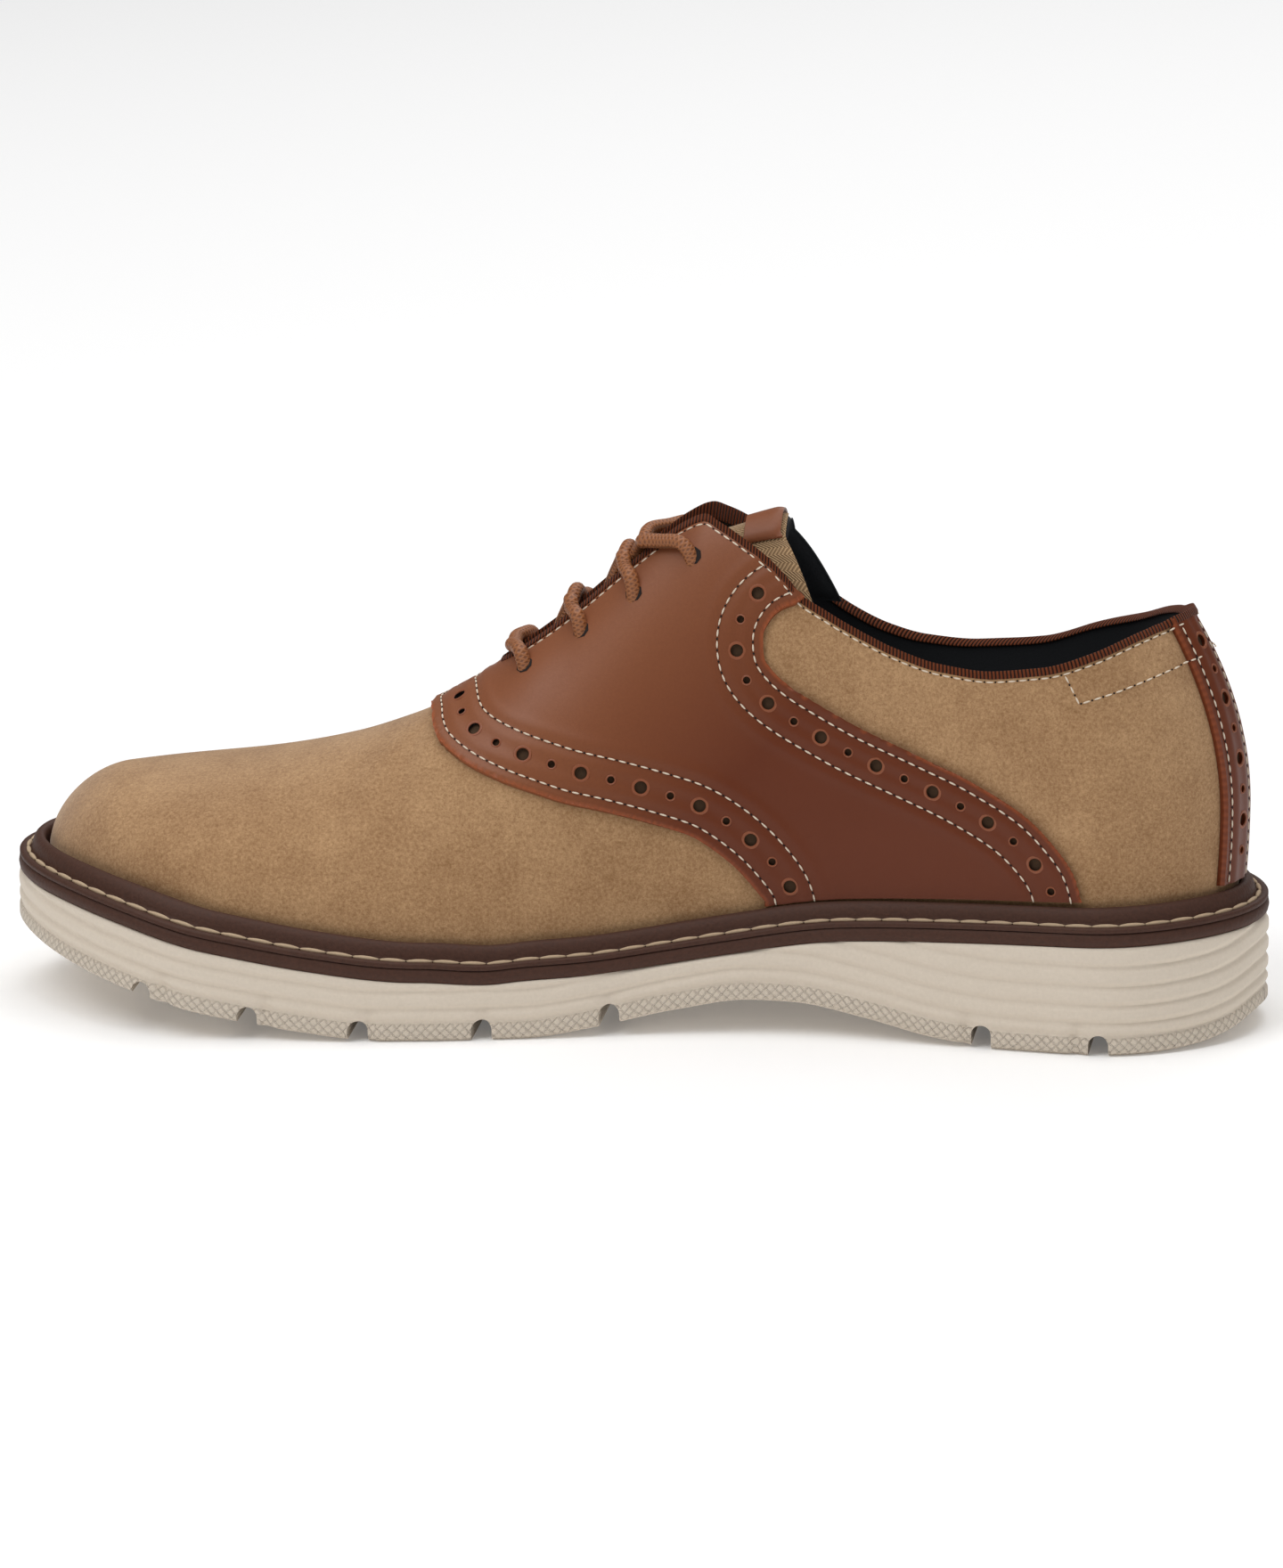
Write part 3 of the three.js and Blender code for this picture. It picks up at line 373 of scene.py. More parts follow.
class Shop:
    def __init__(self, name, fixed):
        self.material = bpy.data.materials.new(name)
        self.material.use_nodes = True
        self.tree = self.material.node_tree
        self.shader = self.tree.nodes["Principled BSDF"]
        for key, value in fixed.items():
            self.shader.inputs[key].default_value = value

    def node(self, kind, settings=None, values=None, output=0):
        made = self.tree.nodes.new(kind)
        for key, value in (settings or {}).items():
            if key == "stops":
                for i, (spot, colour) in enumerate(value):
                    stop = made.color_ramp.elements[i] if i < 2 else made.color_ramp.elements.new(spot)
                    stop.position, stop.color = spot, colour
            else:
                setattr(made, key, value)
        for key, value in (values or {}).items():
            if isinstance(value, Wire):
                self.tree.links.new(value.socket, made.inputs[key])
            else:
                made.inputs[key].default_value = value
        return Wire(self, made.outputs[output])

    def spot(self):
        return self.node("ShaderNodeTexCoord", output="Object")

    def split(self, vector, *which):  # the chosen parts of a vector
        parts = self.node("ShaderNodeSeparateXYZ", {}, {0: vector}).socket.node.outputs
        return [Wire(self, parts[k]) for k in which]

    def cloth(self):  # millimetres along and across, from the piece's own map
        return self.split(self.node("ShaderNodeTexCoord", output="UV"), 0, 1)

    def value(self, name):
        return self.node("ShaderNodeAttribute", {"attribute_name": name}, output="Fac")

    def noise(self, pitch, detail=2.0, rough=0.5, twist=0.0):  # pitch in millimetres
        settings = {"Vector": self.spot(), "Scale": 1 / (pitch * mm), "Detail": detail,
                    "Roughness": rough, "Distortion": twist}
        return self.node("ShaderNodeTexNoise", {}, settings)

    def ramp(self, value, stops):
        return self.node("ShaderNodeValToRGB", {"stops": stops}, {"Fac": value})

    def mix(self, share, first, second):
        return self.node("ShaderNodeMix", {"data_type": "RGBA"}, {0: share, 6: first, 7: second}, 2)

    def feed(self, **links):
        names = {"colour": "Base Color", "roughness": "Roughness", "coat": "Coat Weight"}
        for key, value in links.items():
            if key == "bump":
                height, depth = value
                settings = {"Height": height, "Strength": 1.0, "Distance": depth * mm}
                made = self.node("ShaderNodeBump", {}, settings)
                self.tree.links.new(made.socket, self.shader.inputs["Normal"])
            else:
                self.tree.links.new(value.socket, self.shader.inputs[names[key]])
        return self.material


def tint(red, green, blue):  # a picture's colour, 0 to 255, as light
    def one(k):
        k /= 255
        return k / 12.92 if k < 0.04045 else ((k + 0.055) / 1.055) ** 2.4
    return one(red), one(green), one(blue), 1.0


def nubuckFinish():
    shop = Shop("tanNubuck", {"Sheen Weight": 0.25, "Sheen Roughness": 0.5, "Specular IOR Level": 0.2})
    clouds = shop.noise(16, 4, 0.6)
    nap = shop.noise(0.8, 4, 0.75)
    speck = shop.noise(0.42, 2, 0.6)
    base = shop.ramp(clouds * 0.32 + nap * 0.68, [(0.36, tint(146, 108, 72)), (0.64, tint(196, 158, 116))])
    colour = shop.mix((speck - 0.5).size() * 2.2, base, tint(132, 96, 62))
    return shop.feed(colour=colour, roughness=nap * 0.2 + 0.78, bump=(nap * 0.6 + speck * 0.5, 0.16))


def saddleFinish():
    shop = Shop("brownSaddle", {"Specular IOR Level": 0.26, "Coat Roughness": 0.3})
    edge = shop.value("edge")
    clouds = shop.noise(22, 3, 0.5)
    grain = shop.noise(0.7, 4, 0.65)
    pores = shop.noise(0.3, 2, 0.5)
    along, height = shop.split(shop.spot(), 0, 2)  # lighter upwards and towards the toe: partly the leather's burnish, partly a painted highlight
    highlightAndBurnish = shop.ramp(height * 8.1 - along * 9.4, [(0.25, tint(101, 45, 18)), (0.78, tint(145, 90, 59))])
    base = shop.mix(clouds * 0.3, highlightAndBurnish, tint(118, 56, 27))
    worn = shop.mix(grain * 0.3, base, tint(88, 42, 24))
    colour = shop.mix((1 - edge * 0.9).atLeast(0.0) * 0.75, worn, tint(170, 88, 50))
    return shop.feed(colour=colour, roughness=grain * 0.14 + 0.37, coat=clouds * 0.05 + 0.01,
                     bump=(grain * 0.5 + pores * 0.3, 0.05))


def plainFinish(name, colour, roughness, pitch, depth, spread, **fixed):
    shop = Shop(name, {key.replace("_", " "): value for key, value in fixed.items()})
    grain = shop.noise(pitch, 3, 0.6)
    darker = tuple(k * (1 - spread * 2) for k in tint(*colour)[:3]) + (1.0,)
    return shop.feed(colour=shop.mix(grain, darker, tint(*colour)),
                     roughness=grain * 0.15 + (roughness - 0.07), bump=(grain, depth))


hatching = {"foot": 0.3, "top": 4.4, "pitch": 2.3}  # the hatched band at the foot of the foam


def foamFinish():
    shop = Shop("foamSole", {"Specular IOR Level": 0.35})
    along, up = shop.cloth()
    grain = shop.noise(0.8, 3, 0.6)
    band = (up < hatching["top"]) * (up > hatching["foot"])
    turn = math.pi / hatching["pitch"]
    first = (along * turn + up * turn).sine().size()
    second = (along * turn - up * turn).sine().size()
    hatch = (first.atMost(0.5) + second.atMost(0.5)) * band
    colour = shop.mix(grain * 0.55 - hatch * 0.35 + 0.3, tint(207, 194, 177), tint(232, 219, 202))
    return shop.feed(colour=colour, roughness=grain * 0.12 + 0.55, bump=(hatch * -0.9 + grain * 0.12, 0.6))


def tapeFinish():
    shop = Shop("ribTape", {"Specular IOR Level": 0.12, "Sheen Weight": 0.05})
    along = shop.cloth()[0]
    rib = (along * (math.pi / tape["ribPitch"])).sine().size()
    grain = shop.noise(0.5, 2, 0.6)
    colour = shop.ramp(rib * 0.85 + grain * 0.15, [(0.25, tint(20, 8, 4)), (0.8, tint(112, 56, 30))])
    return shop.feed(colour=colour, roughness=grain * 0.1 + 0.62, bump=(rib, 0.4))


weave = {"pitch": 0.95, "fold": 1.7, "slant": 1.2}


def textileFinish():
    shop = Shop("herringbone", {"Specular IOR Level": 0.15, "Sheen Weight": 0.2})
    along, across = shop.cloth()
    turn = 2 * math.pi / weave["pitch"]
    fold = across.work("PINGPONG", across, weave["fold"])
    twill = (along * turn + fold * (turn * weave["slant"])).sine() * 0.5 + 0.5
    grain = shop.noise(0.4, 2, 0.6)
    colour = shop.ramp(twill * 0.7 + grain * 0.3, [(0.2, tint(142, 112, 80)), (0.8, tint(196, 162, 122))])
    return shop.feed(colour=colour, roughness=grain * 0.1 + 0.82, bump=(twill, 0.22))


braiding = {"turn": 6.4, "strands": 5}


def laceFinish():
    shop = Shop("waxedLace", {"Specular IOR Level": 0.5})
    along, turn = shop.cloth()
    strands = turn * (2 * math.pi * braiding["strands"])
    first = (along * braiding["turn"] + strands).sine()
    second = (along * braiding["turn"] - strands).sine()
    braid = first.atLeast(second) * 0.5 + 0.5
    grain = shop.noise(0.5, 2, 0.6)
    colour = shop.ramp(braid * 0.75 + grain * 0.25, [(0.1, tint(108, 60, 30)), (0.9, tint(158, 98, 56))])
    return shop.feed(colour=colour, roughness=grain * 0.15 + 0.42, bump=(braid, 0.16))


# ribPitch to crown are the sizes of the tape on the rim; seam is how far below it its stitches run.
tape = {"seam": 0.65, "ribPitch": 0.92, "outerLeg": 1.65, "innerLeg": 0.35, "thickness": 0.42, "crown": 0.35}
finishes = {
    "nubuck": nubuckFinish(), "saddle": saddleFinish(), "foam": foamFinish(), "tape": tapeFinish(),
    "textile": textileFinish(), "lace": laceFinish(),
    "welt": plainFinish("weltLeather", (84, 54, 42), 0.6, 0.9, 0.16, 0.25, Specular_IOR_Level=0.25),
    "lining": plainFinish("darkLining", (30, 33, 38), 0.85, 0.5, 0.08, 0.2, Sheen_Weight=0.15),
    "thread": plainFinish("creamThread", (236, 220, 198), 0.7, 0.3, 0.05, 0.12),
    "weltThread": plainFinish("tanThread", (206, 180, 148), 0.75, 0.4, 0.06, 0.2),
    "rim": plainFinish("holeEdge", (146, 80, 46), 0.5, 0.6, 0.04, 0.15),
    # dark blobs in the needle holes and at the eyelet holes: painted shade
    "dark": plainFinish("holeShade", (26, 14, 10), 0.9, 0.6, 0.02, 0.1),
    # the nubuck seen through the punched holes, darkened: painted shade
    "shadedHoleFloor": plainFinish("shadedHoleFloorFinish", (84, 60, 38), 0.9, 0.6, 0.02, 0.2),
}
print("stage: finishes made")

# Sole: foam with scalloped ribs, a hatched band at its foot and cross notches in the tread.
sole = {"stations": 300, "wallRows": 64, "lines": [4.8, 7.9, 12.2, 16.8, 21.6], "lineDepth": 0.62,
        "lineWidth": 0.8, "bulge": 0.1, "footRound": 1.6, "topRound": 0.5, "across": 12,
        "fluteHalf": 1.7, "fluteDepth": 0.9, "fluteTop": (6.5, 9.5),
        "notches": [0.122, 0.215, 0.509, 0.607, 0.703, 0.79, 0.876], "notchWidth": 4.8, "notchDepth": 5.0,
        "bandProfile": [(-0.5, -0.2), (-0.1, 0.3), (0.1, 1.4), (-0.1, 2.6), (-0.5, 3.0)]}


def sectionBody(name, ats, wall, across, material):  # wall: (grow, z) rows from foot to top
    rings = {}
    for side in (-1, 1):
        rows = []
        for grow, z in wall:
            rows.append(place(alongX(ats, grow), side * halfWidth(ats, side, grow), z))
        rings[side] = np.stack(rows, 1)
    share = (np.arange(across) + 1) / (across + 1)
    top = rings[-1][:, -1:] * (1 - share)[None, :, None] + rings[1][:, -1:] * share[None, :, None]
    foot = rings[1][:, :1] * (1 - share)[None, :, None] + rings[-1][:, :1] * share[None, :, None]
    return mergedPiece(name, np.concatenate([rings[-1], top, rings[1][:, ::-1], foot], 1), material)


def cutWith(piece, cutter, way="DIFFERENCE"):
    bpy.context.view_layer.objects.active = piece
    cut = piece.modifiers.new("cut", "BOOLEAN")
    cut.operation, cut.solver, cut.object = way, "MANIFOLD", cutter
    bpy.ops.object.modifier_apply(modifier=cut.name)
    bpy.data.objects.remove(cutter)
    print("stage: cut", piece.name, len(piece.data.polygons))


def layHatch(piece, ats):  # millimetres round the sole and above its tread, for the hatched band
    mesh = piece.data
    ring = footRing(ats, 0, 0.0)
    stations = np.concatenate([ats, ats[1:-1][::-1]])
    run = arcLength(ring)
    points = np.array([p.co for p in mesh.vertices]) / mm
    near = np.concatenate([((some[:, None, :2] - ring[None, :, :2]) ** 2).sum(-1).argmin(1)
                           for some in np.array_split(points, 40)])
    while mesh.uv_layers:
        mesh.uv_layers.remove(mesh.uv_layers[0])
    layMap(mesh, np.stack([run[near], points[:, 2] - treadZ(stations[near])], -1))


def buildSole():
    ats = spacing(sole["stations"])
    foamTall = foamZ(ats) - treadZ(ats)
    wall = []
    for share in np.linspace(0, 1, sole["wallRows"]):
        up = share * foamTall
        dip = sum(np.exp(-(((up - line) / sole["lineWidth"]) ** 2)) for line in sole["lines"])
        offs = [(ats - at) * shoe["length"] / sole["fluteHalf"] for at in sole["notches"]]
        flute = sum(np.exp(-(off**2)) for off in offs)
        flute = flute * (1 - smooth(*sole["fluteTop"], up))
        edge = sole["footRound"] * np.clip(1 - up / sole["footRound"], 0, 1) ** 2
        top = sole["topRound"] * np.clip(1 - (foamTall - up) / 0.8, 0, 1) ** 2
        relieved = sole["bulge"] - dip * sole["lineDepth"] - flute * sole["fluteDepth"] - edge - top
        wall.append((relieved, treadZ(ats) + up))
    piece = sectionBody("foamSole", ats, wall, sole["across"], finishes["foam"])
    bpy.ops.object.select_all(action="DESELECT")
    cutters = []
    for at in sole["notches"]:
        x, z = alongX(at, 0), float(treadZ(at))
        radius = sole["notchWidth"] / 2
        middle = z + sole["notchDepth"] - radius
        bpy.ops.mesh.primitive_cylinder_add(vertices=32, radius=radius * mm, depth=0.15,
                                            location=(x * mm, 0, middle * mm), rotation=(math.pi / 2, 0, 0))
        cutters.append(bpy.context.object)
        bpy.ops.mesh.primitive_cube_add(size=1, location=(x * mm, 0, (middle - 4) * mm),
                                        scale=(sole["notchWidth"] * mm, 0.15, 8 * mm))
        cutters.append(bpy.context.object)
    for cutter in cutters:
        cutter.select_set(True)
        bpy.context.view_layer.objects.active = cutter
        bpy.ops.object.transform_apply(location=True, rotation=True, scale=True)
        cutWith(piece, cutter)
    piece.data.set_sharp_from_angle(angle=math.radians(40))
    layHatch(piece, ats)
    finishPiece(piece, ["outsole"])
    low = foamZ(ats) + shoe["gap"]
    rows = [(grow, low + up) for grow, up in sole["bandProfile"]]
    middle = sectionBody("midsoleBand", ats, rows, 3, finishes["welt"])
    finishPiece(middle, ["midsole"])


# Welt: a strip with a stitched groove and a raised bead against the upper.
welt = {"seamAt": 0.31, "seamHeight": 0.9, "stitchPitch": 6.3, "stitchLength": 6.7, "stitchThick": 1.2,
        "stations": 260,
        "profile": {"inset": [1, 0.02, 0, 0, 0.04, 0.16, 0.27, 0.34, 0.4, 0.43, 0.48, 0.55, 0.64, 0.74,
                              0.84, 0.94, 1],
                    "push": [0.7, -0.1, -0.1, -0.1, -0.1, 0, 0, 0, 0, 0, 0, 0, 0, 0, 0, 0.4, 1.2],
                    "up": [-0.3, -0.3, 0, 0.6, 1.0, 1.05, 0.7, 0.55, 0.9, 1.7, 3.0, 4.0, 4.6, 4.6, 4.2,
                           3.3, 1.6]}}


def buildWelt():
    ats = spacing(welt["stations"])
    profile = welt["profile"]
    width, foot = weltAt(ats), featherZ(ats)
    rings = [footRing(ats, push - inset * width, foot + up)
             for inset, push, up in zip(profile["inset"], profile["push"], profile["up"])]
    strip = mergedPiece("weltStrip", np.stack(rings + rings[:1]), finishes["welt"], 60)
    finishPiece(strip, ["welt"])
    line = footRing(ats, -welt["seamAt"] * width, foot + welt["seamHeight"])
    line = np.concatenate([line, line[:1]])
    upward = np.broadcast_to((0, 0, 1.0), line.shape)
    stitchRow(line, upward, welt["stitchPitch"], welt["stitchLength"], welt["stitchThick"], "weltThread")


# Stitches: a sphere is stretched to a stitch, and copies of it are laid out along a line.
def shapeOf(add, **sizes):  # the points and faces of a simple body
    bpy.ops.object.select_all(action="DESELECT")
    add(**sizes)
    piece = bpy.context.object
    points = np.array([p.co for p in piece.data.vertices])
    faces = [list(f.vertices) for f in piece.data.polygons]
    bpy.data.objects.remove(piece)
    return points, faces


roundShape = shapeOf(bpy.ops.mesh.primitive_uv_sphere_add, segments=8, ring_count=7, radius=1)
# size of the dark blob in each needle hole between stitches: painted shade
holeShade = (0.28, 0.26, 0.12)
stitchMeshes = {"thread": [[], [], 0], "dark": [[], [], 0], "weltThread": [[], [], 0]}


def layOut(store, points, faces, spots, frames, sizes):  # copies of one shape, each in its own frame
    shapes, rings, start = store
    for spot, axes, size in zip(spots, frames, sizes):
        shapes.append(spot + (points * size) @ axes)
        rings.extend([[k + start for k in face] for face in faces])
        start += len(points)
    store[2] = start


def alongLine(line, outward, distances):
    run = arcLength(line)

    def pick(values, distances):
        return np.stack([np.interp(distances, run, values[:, k]) for k in range(3)], 1)

    spots, out = pick(line, distances), pick(outward, distances)
    way = pick(line, distances + 0.4) - pick(line, distances - 0.4)
    way /= np.linalg.norm(way, axis=1)[:, None]
    out -= np.sum(out * way, 1)[:, None] * way
    out /= np.linalg.norm(out, axis=1)[:, None]
    return spots, np.stack([way, np.cross(out, way), out], 1)


def stitchRow(line, outward, pitch, length, thick, thread="thread"):
    total = arcLength(line)[-1]
    count = int(total / pitch)
    distances = (np.arange(count) + 0.5) * total / count
    spots, frames = alongLine(line, outward, distances)
    sizes = [(length / 2, thick / 2, thick / 2)] * count
    layOut(stitchMeshes[thread], *roundShape, spots, frames, sizes)
    # a dark blob in each needle hole between two stitches: painted shade
    between = distances[:-1] + np.diff(distances) / 2
    spots, frames = alongLine(line, outward, between)
    layOut(stitchMeshes["dark"], *roundShape, spots, frames, [holeShade] * len(between))


def joinStitches():
    for key, slot in (("thread", "lace"), ("weltThread", "lace"), ("dark", "saddle_leather")):
        shapes, rings, _ = stitchMeshes[key]
        piece = makePiece(key + "Stitches", np.concatenate(shapes), rings, finishes[key])
        finishPiece(piece)


# Upper: the nubuck skin and its dark lining, open at collar and throat and underneath.
upper = {"rows": 230, "columns": 46, "wall": 1.2, "lining": 0.35,
         "footbedProfile": [(0, -0.3), (0, 2.6), (-0.5, 3.7), (-1.5, 4.1)]}
creases = [  # (place along the shoe, half width, slant, from and to down the side, height)
    (0.7, 0.008, 0.05, 0.1, 0.75, -0.35), (0.725, 0.01, 0.06, 0.15, 0.8, 0.25),
    (0.748, 0.008, 0.05, 0.2, 0.8, -0.25), (0.24, 0.02, 0.1, 0.55, 1.0, -0.3),
    (0.075, 0.014, -0.05, 0.55, 1.0, -0.25),
]


def relief(at, v):  # soft troughs and ridges of the vamp and the quarters, in millimetres
    total = 0 * at * v
    for middle, half, slant, low, high, height in creases:
        off = at - middle - slant * (v - 0.5)
        fade = smooth(low, low + 0.12, v) * (1 - smooth(high - 0.12, high, v))
        total = total + height * np.exp(-((off / half) ** 2)) * fade
    return total


def buildUpper():
    front = shoe["throatFront"]
    back = spacing(2 * upper["rows"])
    ats = np.unique(np.concatenate([back[back < front][::2], [front], back[back > front][::2]]))
    shares = np.linspace(0, 1, upper["columns"] + 1)
    skins, linings = [], []
    for side in (-1, 1):
        at = np.broadcast_to(ats[:, None], (len(ats), len(shares)))
        rim = rimShare(at, side)
        v = rim + (1 - rim) * shares[None, :]
        v = np.where(at >= 1, 1, v)
        outer = lastPoint(at, side, v, relief(at, v))
        skins.append((outer, lastPoint(at, side, v, -upper["wall"]), side > 0))
        low = -upper["wall"] - 0.02
        linings.append((lastPoint(at, side, v, low), lastPoint(at, side, v, low - upper["lining"]), side > 0))
    finishPiece(shellPiece("nubuckUpper", skins, finishes["nubuck"]), ["upper"])
    finishPiece(shellPiece("collarLining", linings, finishes["lining"]))
    ats = spacing(90)
    inset = -(shoe["upperWall"] + 1.0) - weltAt(ats)
    rows = [(inset + grow, featherZ(ats) + up) for grow, up in upper["footbedProfile"]]
    finishPiece(sectionBody("footbed", ats, rows, 6, finishes["lining"]), ["insole"])


# Saddle: the overlay's edges, down from the rim (0) to the welt, as places along the shoe.
# A lift is how much higher that row of the edge stands, as a share of the side.
saddleEdges = {
    "at": [0, 0.06, 0.12, 0.19, 0.25, 0.3, 0.322, 0.335, 0.35, 0.415, 0.46, 0.49, 0.52, 0.57, 0.63,
           0.69, 0.75, 0.81, 0.91],
    "front": [0.676, 0.6745, 0.672, 0.67, 0.6662, 0.6617, 0.6581, 0.6565, 0.6549, 0.6424, 0.6295, 0.6021,
              0.5773, 0.5512, 0.5251, 0.4845, 0.4395, 0.4077, 0.3834],
    "frontLift": [0, 0, 0, 0, 0, 0, 0.0035, 0.0031, 0.0095, 0.0142, 0.0099, 0.0099, -0.0023, -0.0043,
                  0.0108, 0.0042, -0.0015, -0.0035, -0.0029],
    "rear": [0.362, 0.3729, 0.3827, 0.3892, 0.3878, 0.3776, 0.3606, 0.3068, 0.2558, 0.2094, 0.192, 0.1817,
             0.1724, 0.1587, 0.1458, 0.1349, 0.1251, 0.1178, 0.1107],
    "rearLift": [0, 0.0036, -0.0017, -0.0035, 0.0015, 0.0205, 0.03, 0.0172, 0.0057, 0.0024, 0.0035, 0.0045,
                 0.0043, 0.004, 0.0034, 0.0033, 0.0033, 0.0021, 0.0003],
}
saddle = {
    "rows": 112, "columns": 224, "span": (0.085, 0.7), "bottom": 0.955, "tapeClear": 3.2, "rimClear": 0.4,
    "edgeDrop": 0.75, "edgeWidth": 0.9, "trough": 0.22, "troughHalf": 0.9,
    "puff": 0.25, "puffAside": 2.4, "puffHalf": 1.3,
    "frontRows": (2.7, 7.5, 12.3), "rearRows": (2.5, 6.5, 11.2),  # stitches, holes, stitches from the edge
    "frontHoles": (6.3, 7.283), "rearHoles": (6.29, 7.468),  # start and pitch
    "bigHole": 1.75, "smallHole": 0.95, "stitchPitch": 2.65, "stitchLength": 1.9, "stitchThick": 0.45,
}


def shareOf(at, side, down):  # down is 0 below the tape, 1 at the feather line and -1 at the rim
    top = overlayTop(at, side, saddle["tapeClear"])
    rim = overlayTop(at, side, saddle["rimClear"])
    return np.where(down < 0, top + down * (top - rim), top + (1 - top) * down)


def edgeLine(column, side, samples=260, bottom=None):  # the cut edge, as (at, v)
    marks = np.array(saddleEdges["at"])
    raised = np.array(saddleEdges[column + "Lift"])
    corners = {"at": list(marks), "v": list(shareOf(np.array(saddleEdges[column]), side, marks) - raised)}
    down = np.linspace(0, bottom or saddle["bottom"], samples)
    at, v = lookUp(saddleEdges, column, down), lookUp(corners, "v", down)
    v = v + np.maximum(0, down - marks[-1]) * (1 - v[-1]) / (1 - marks[-1])
    if column == "front":
        return at, v
    rise = np.linspace(-14, 0, 60)[:-1]  # on past the rim, so that the lines beside it reach the tape
    return np.concatenate([at[0] + rise * 0.0028, at]), np.concatenate([v[0] + rise * 0.0055, v])


def insetLine(at, v, side, distance, inwardSign, offset):  # moved over the surface, away from the edge
    steps = max(1, int(math.ceil(distance / 0.8)))  # of at most 0.8 mm
    for _ in range(steps):
        run = arcLength(lastPoint(at, side, v, offset))
        even = np.linspace(0, run[-1], len(at))
        at, v = np.interp(even, run, at), np.interp(even, run, v)
        for _ in range(6):
            at[1:-1] = (at[:-2] + 2 * at[1:-1] + at[2:]) / 4
            v[1:-1] = (v[:-2] + 2 * v[1:-1] + v[2:]) / 4
        point, along, down, normal = surfaceFrame(at, side, v, offset)
        way = np.gradient(point, axis=0)
        way /= np.linalg.norm(way, axis=1)[:, None]
        inward = np.cross(normal, way) * inwardSign
        aa, dd = np.sum(along * along, 1), np.sum(down * down, 1)
        ad = np.sum(along * down, 1)
        ai, di = np.sum(along * inward, 1), np.sum(down * inward, 1)
        det = aa * dd - ad * ad
        at = at + (ai * dd - di * ad) / det * distance / steps
        v = np.clip(v + (di * aa - ai * ad) / det * distance / steps, 0, 1)
    return at, v


def rowOnSaddle(column, side, distance):
    at, v = edgeLine(column, side)
    sign = side if column == "rear" else -side
    offset = shoe["gap"] + shoe["overlay"]
    at, v = insetLine(at, v, side, distance, sign, offset)
    keep = (v >= overlayTop(at, side, tape["outerLeg"])) & (v < 0.962)
    at, v = at[keep], v[keep]
    point, _, _, normal = surfaceFrame(at, side, v, offset)
    return point, normal


holes = {"spots": [], "frames": [], "radius": []}


def punchRow(line, outward, start, pitch):
    total = arcLength(line)[-1]
    distances = np.arange(start, total - 2, pitch)
    spots, frames = alongLine(line, outward, distances)
    for i, (spot, axes) in enumerate(zip(spots, frames)):
        holes["spots"].append(spot)
        holes["frames"].append(axes)
        holes["radius"].append(saddle["bigHole"] if i % 2 == 0 else saddle["smallHole"])


def nearest(points, line):  # distance from each point to a line of points
    best = np.full(len(points), 1e9)
    for start in range(0, len(points), 4000):
        some = points[start:start + 4000, None] - line[None]
        best[start:start + 4000] = np.sqrt((some**2).sum(-1).min(1))
    return best


def overlayGrids(at, v, side, cutEdge, seams):  # outer and inner sheet, rounded to the cut edge
    top = shoe["gap"] + shoe["overlay"]
    flat = lastPoint(at, side, v, top).reshape(-1, 3)
    edge = nearest(flat, cutEdge).reshape(at.shape)
    edgeRound = saddle["edgeDrop"] * np.clip(1 - edge / saddle["edgeWidth"], 0, 1) ** 2
    seam = nearest(flat, seams).reshape(at.shape)
    trough = saddle["trough"] * np.exp(-((seam / saddle["troughHalf"]) ** 2))
    puff = saddle["puff"] * np.exp(-(((seam - saddle["puffAside"]) / saddle["puffHalf"]) ** 2))
    outer = lastPoint(at, side, v, top - edgeRound - trough + puff)
    inner = lastPoint(at, side, v, shoe["gap"] * 0.4)
    return outer, inner


def holeCopies(name, shape, grow, tall, finish, sunk=0.0):  # one piece with a copy at every hole
    store = [[], [], 0]
    spots = [spot - axes[2] * sunk for spot, axes in zip(holes["spots"], holes["frames"])]
    sizes = [(radius + grow, radius + grow, tall) for radius in holes["radius"]]
    layOut(store, *shape, spots, holes["frames"], sizes)
    return makePiece(name, np.concatenate(store[0]), store[1], finishes[finish])


def buildSaddle():
    sheets, edges = [], []
    for side in (-1, 1):
        seams = []
        for column in ("front", "rear"):
            outerRow, holeRow, innerRow = saddle[column + "Rows"]
            for distance in (outerRow, innerRow):
                line, outward = rowOnSaddle(column, side, distance)
                seams.append(line)
                sewLine(line, outward)
            line, outward = rowOnSaddle(column, side, holeRow)
            punchRow(line, outward, *saddle[column + "Holes"])
        cuts = []
        for column in ("front", "rear"):
            edgeAt, edgeV = edgeLine(column, side, 500)
            cuts.append(lastPoint(edgeAt, side, edgeV, shoe["gap"] + shoe["overlay"]))
        at = np.broadcast_to(np.linspace(*saddle["span"], saddle["columns"])[:, None],
                             (saddle["columns"], saddle["rows"]))
        top = overlayTop(at, side, saddle["rimClear"])
        v = top + (saddle["bottom"] - top) * np.linspace(0, 1, saddle["rows"])[None, :]
        outer, inner = overlayGrids(at, v, side, np.concatenate(cuts), np.concatenate(seams))
        sheets.append((outer, inner, side > 0))
        edges.append(np.concatenate(cuts))
    panel = shellPiece("saddlePanel", sheets, finishes["saddle"])
    cutWith(panel, saddleOutline(), "INTERSECT")
    return panel, np.concatenate(edges)


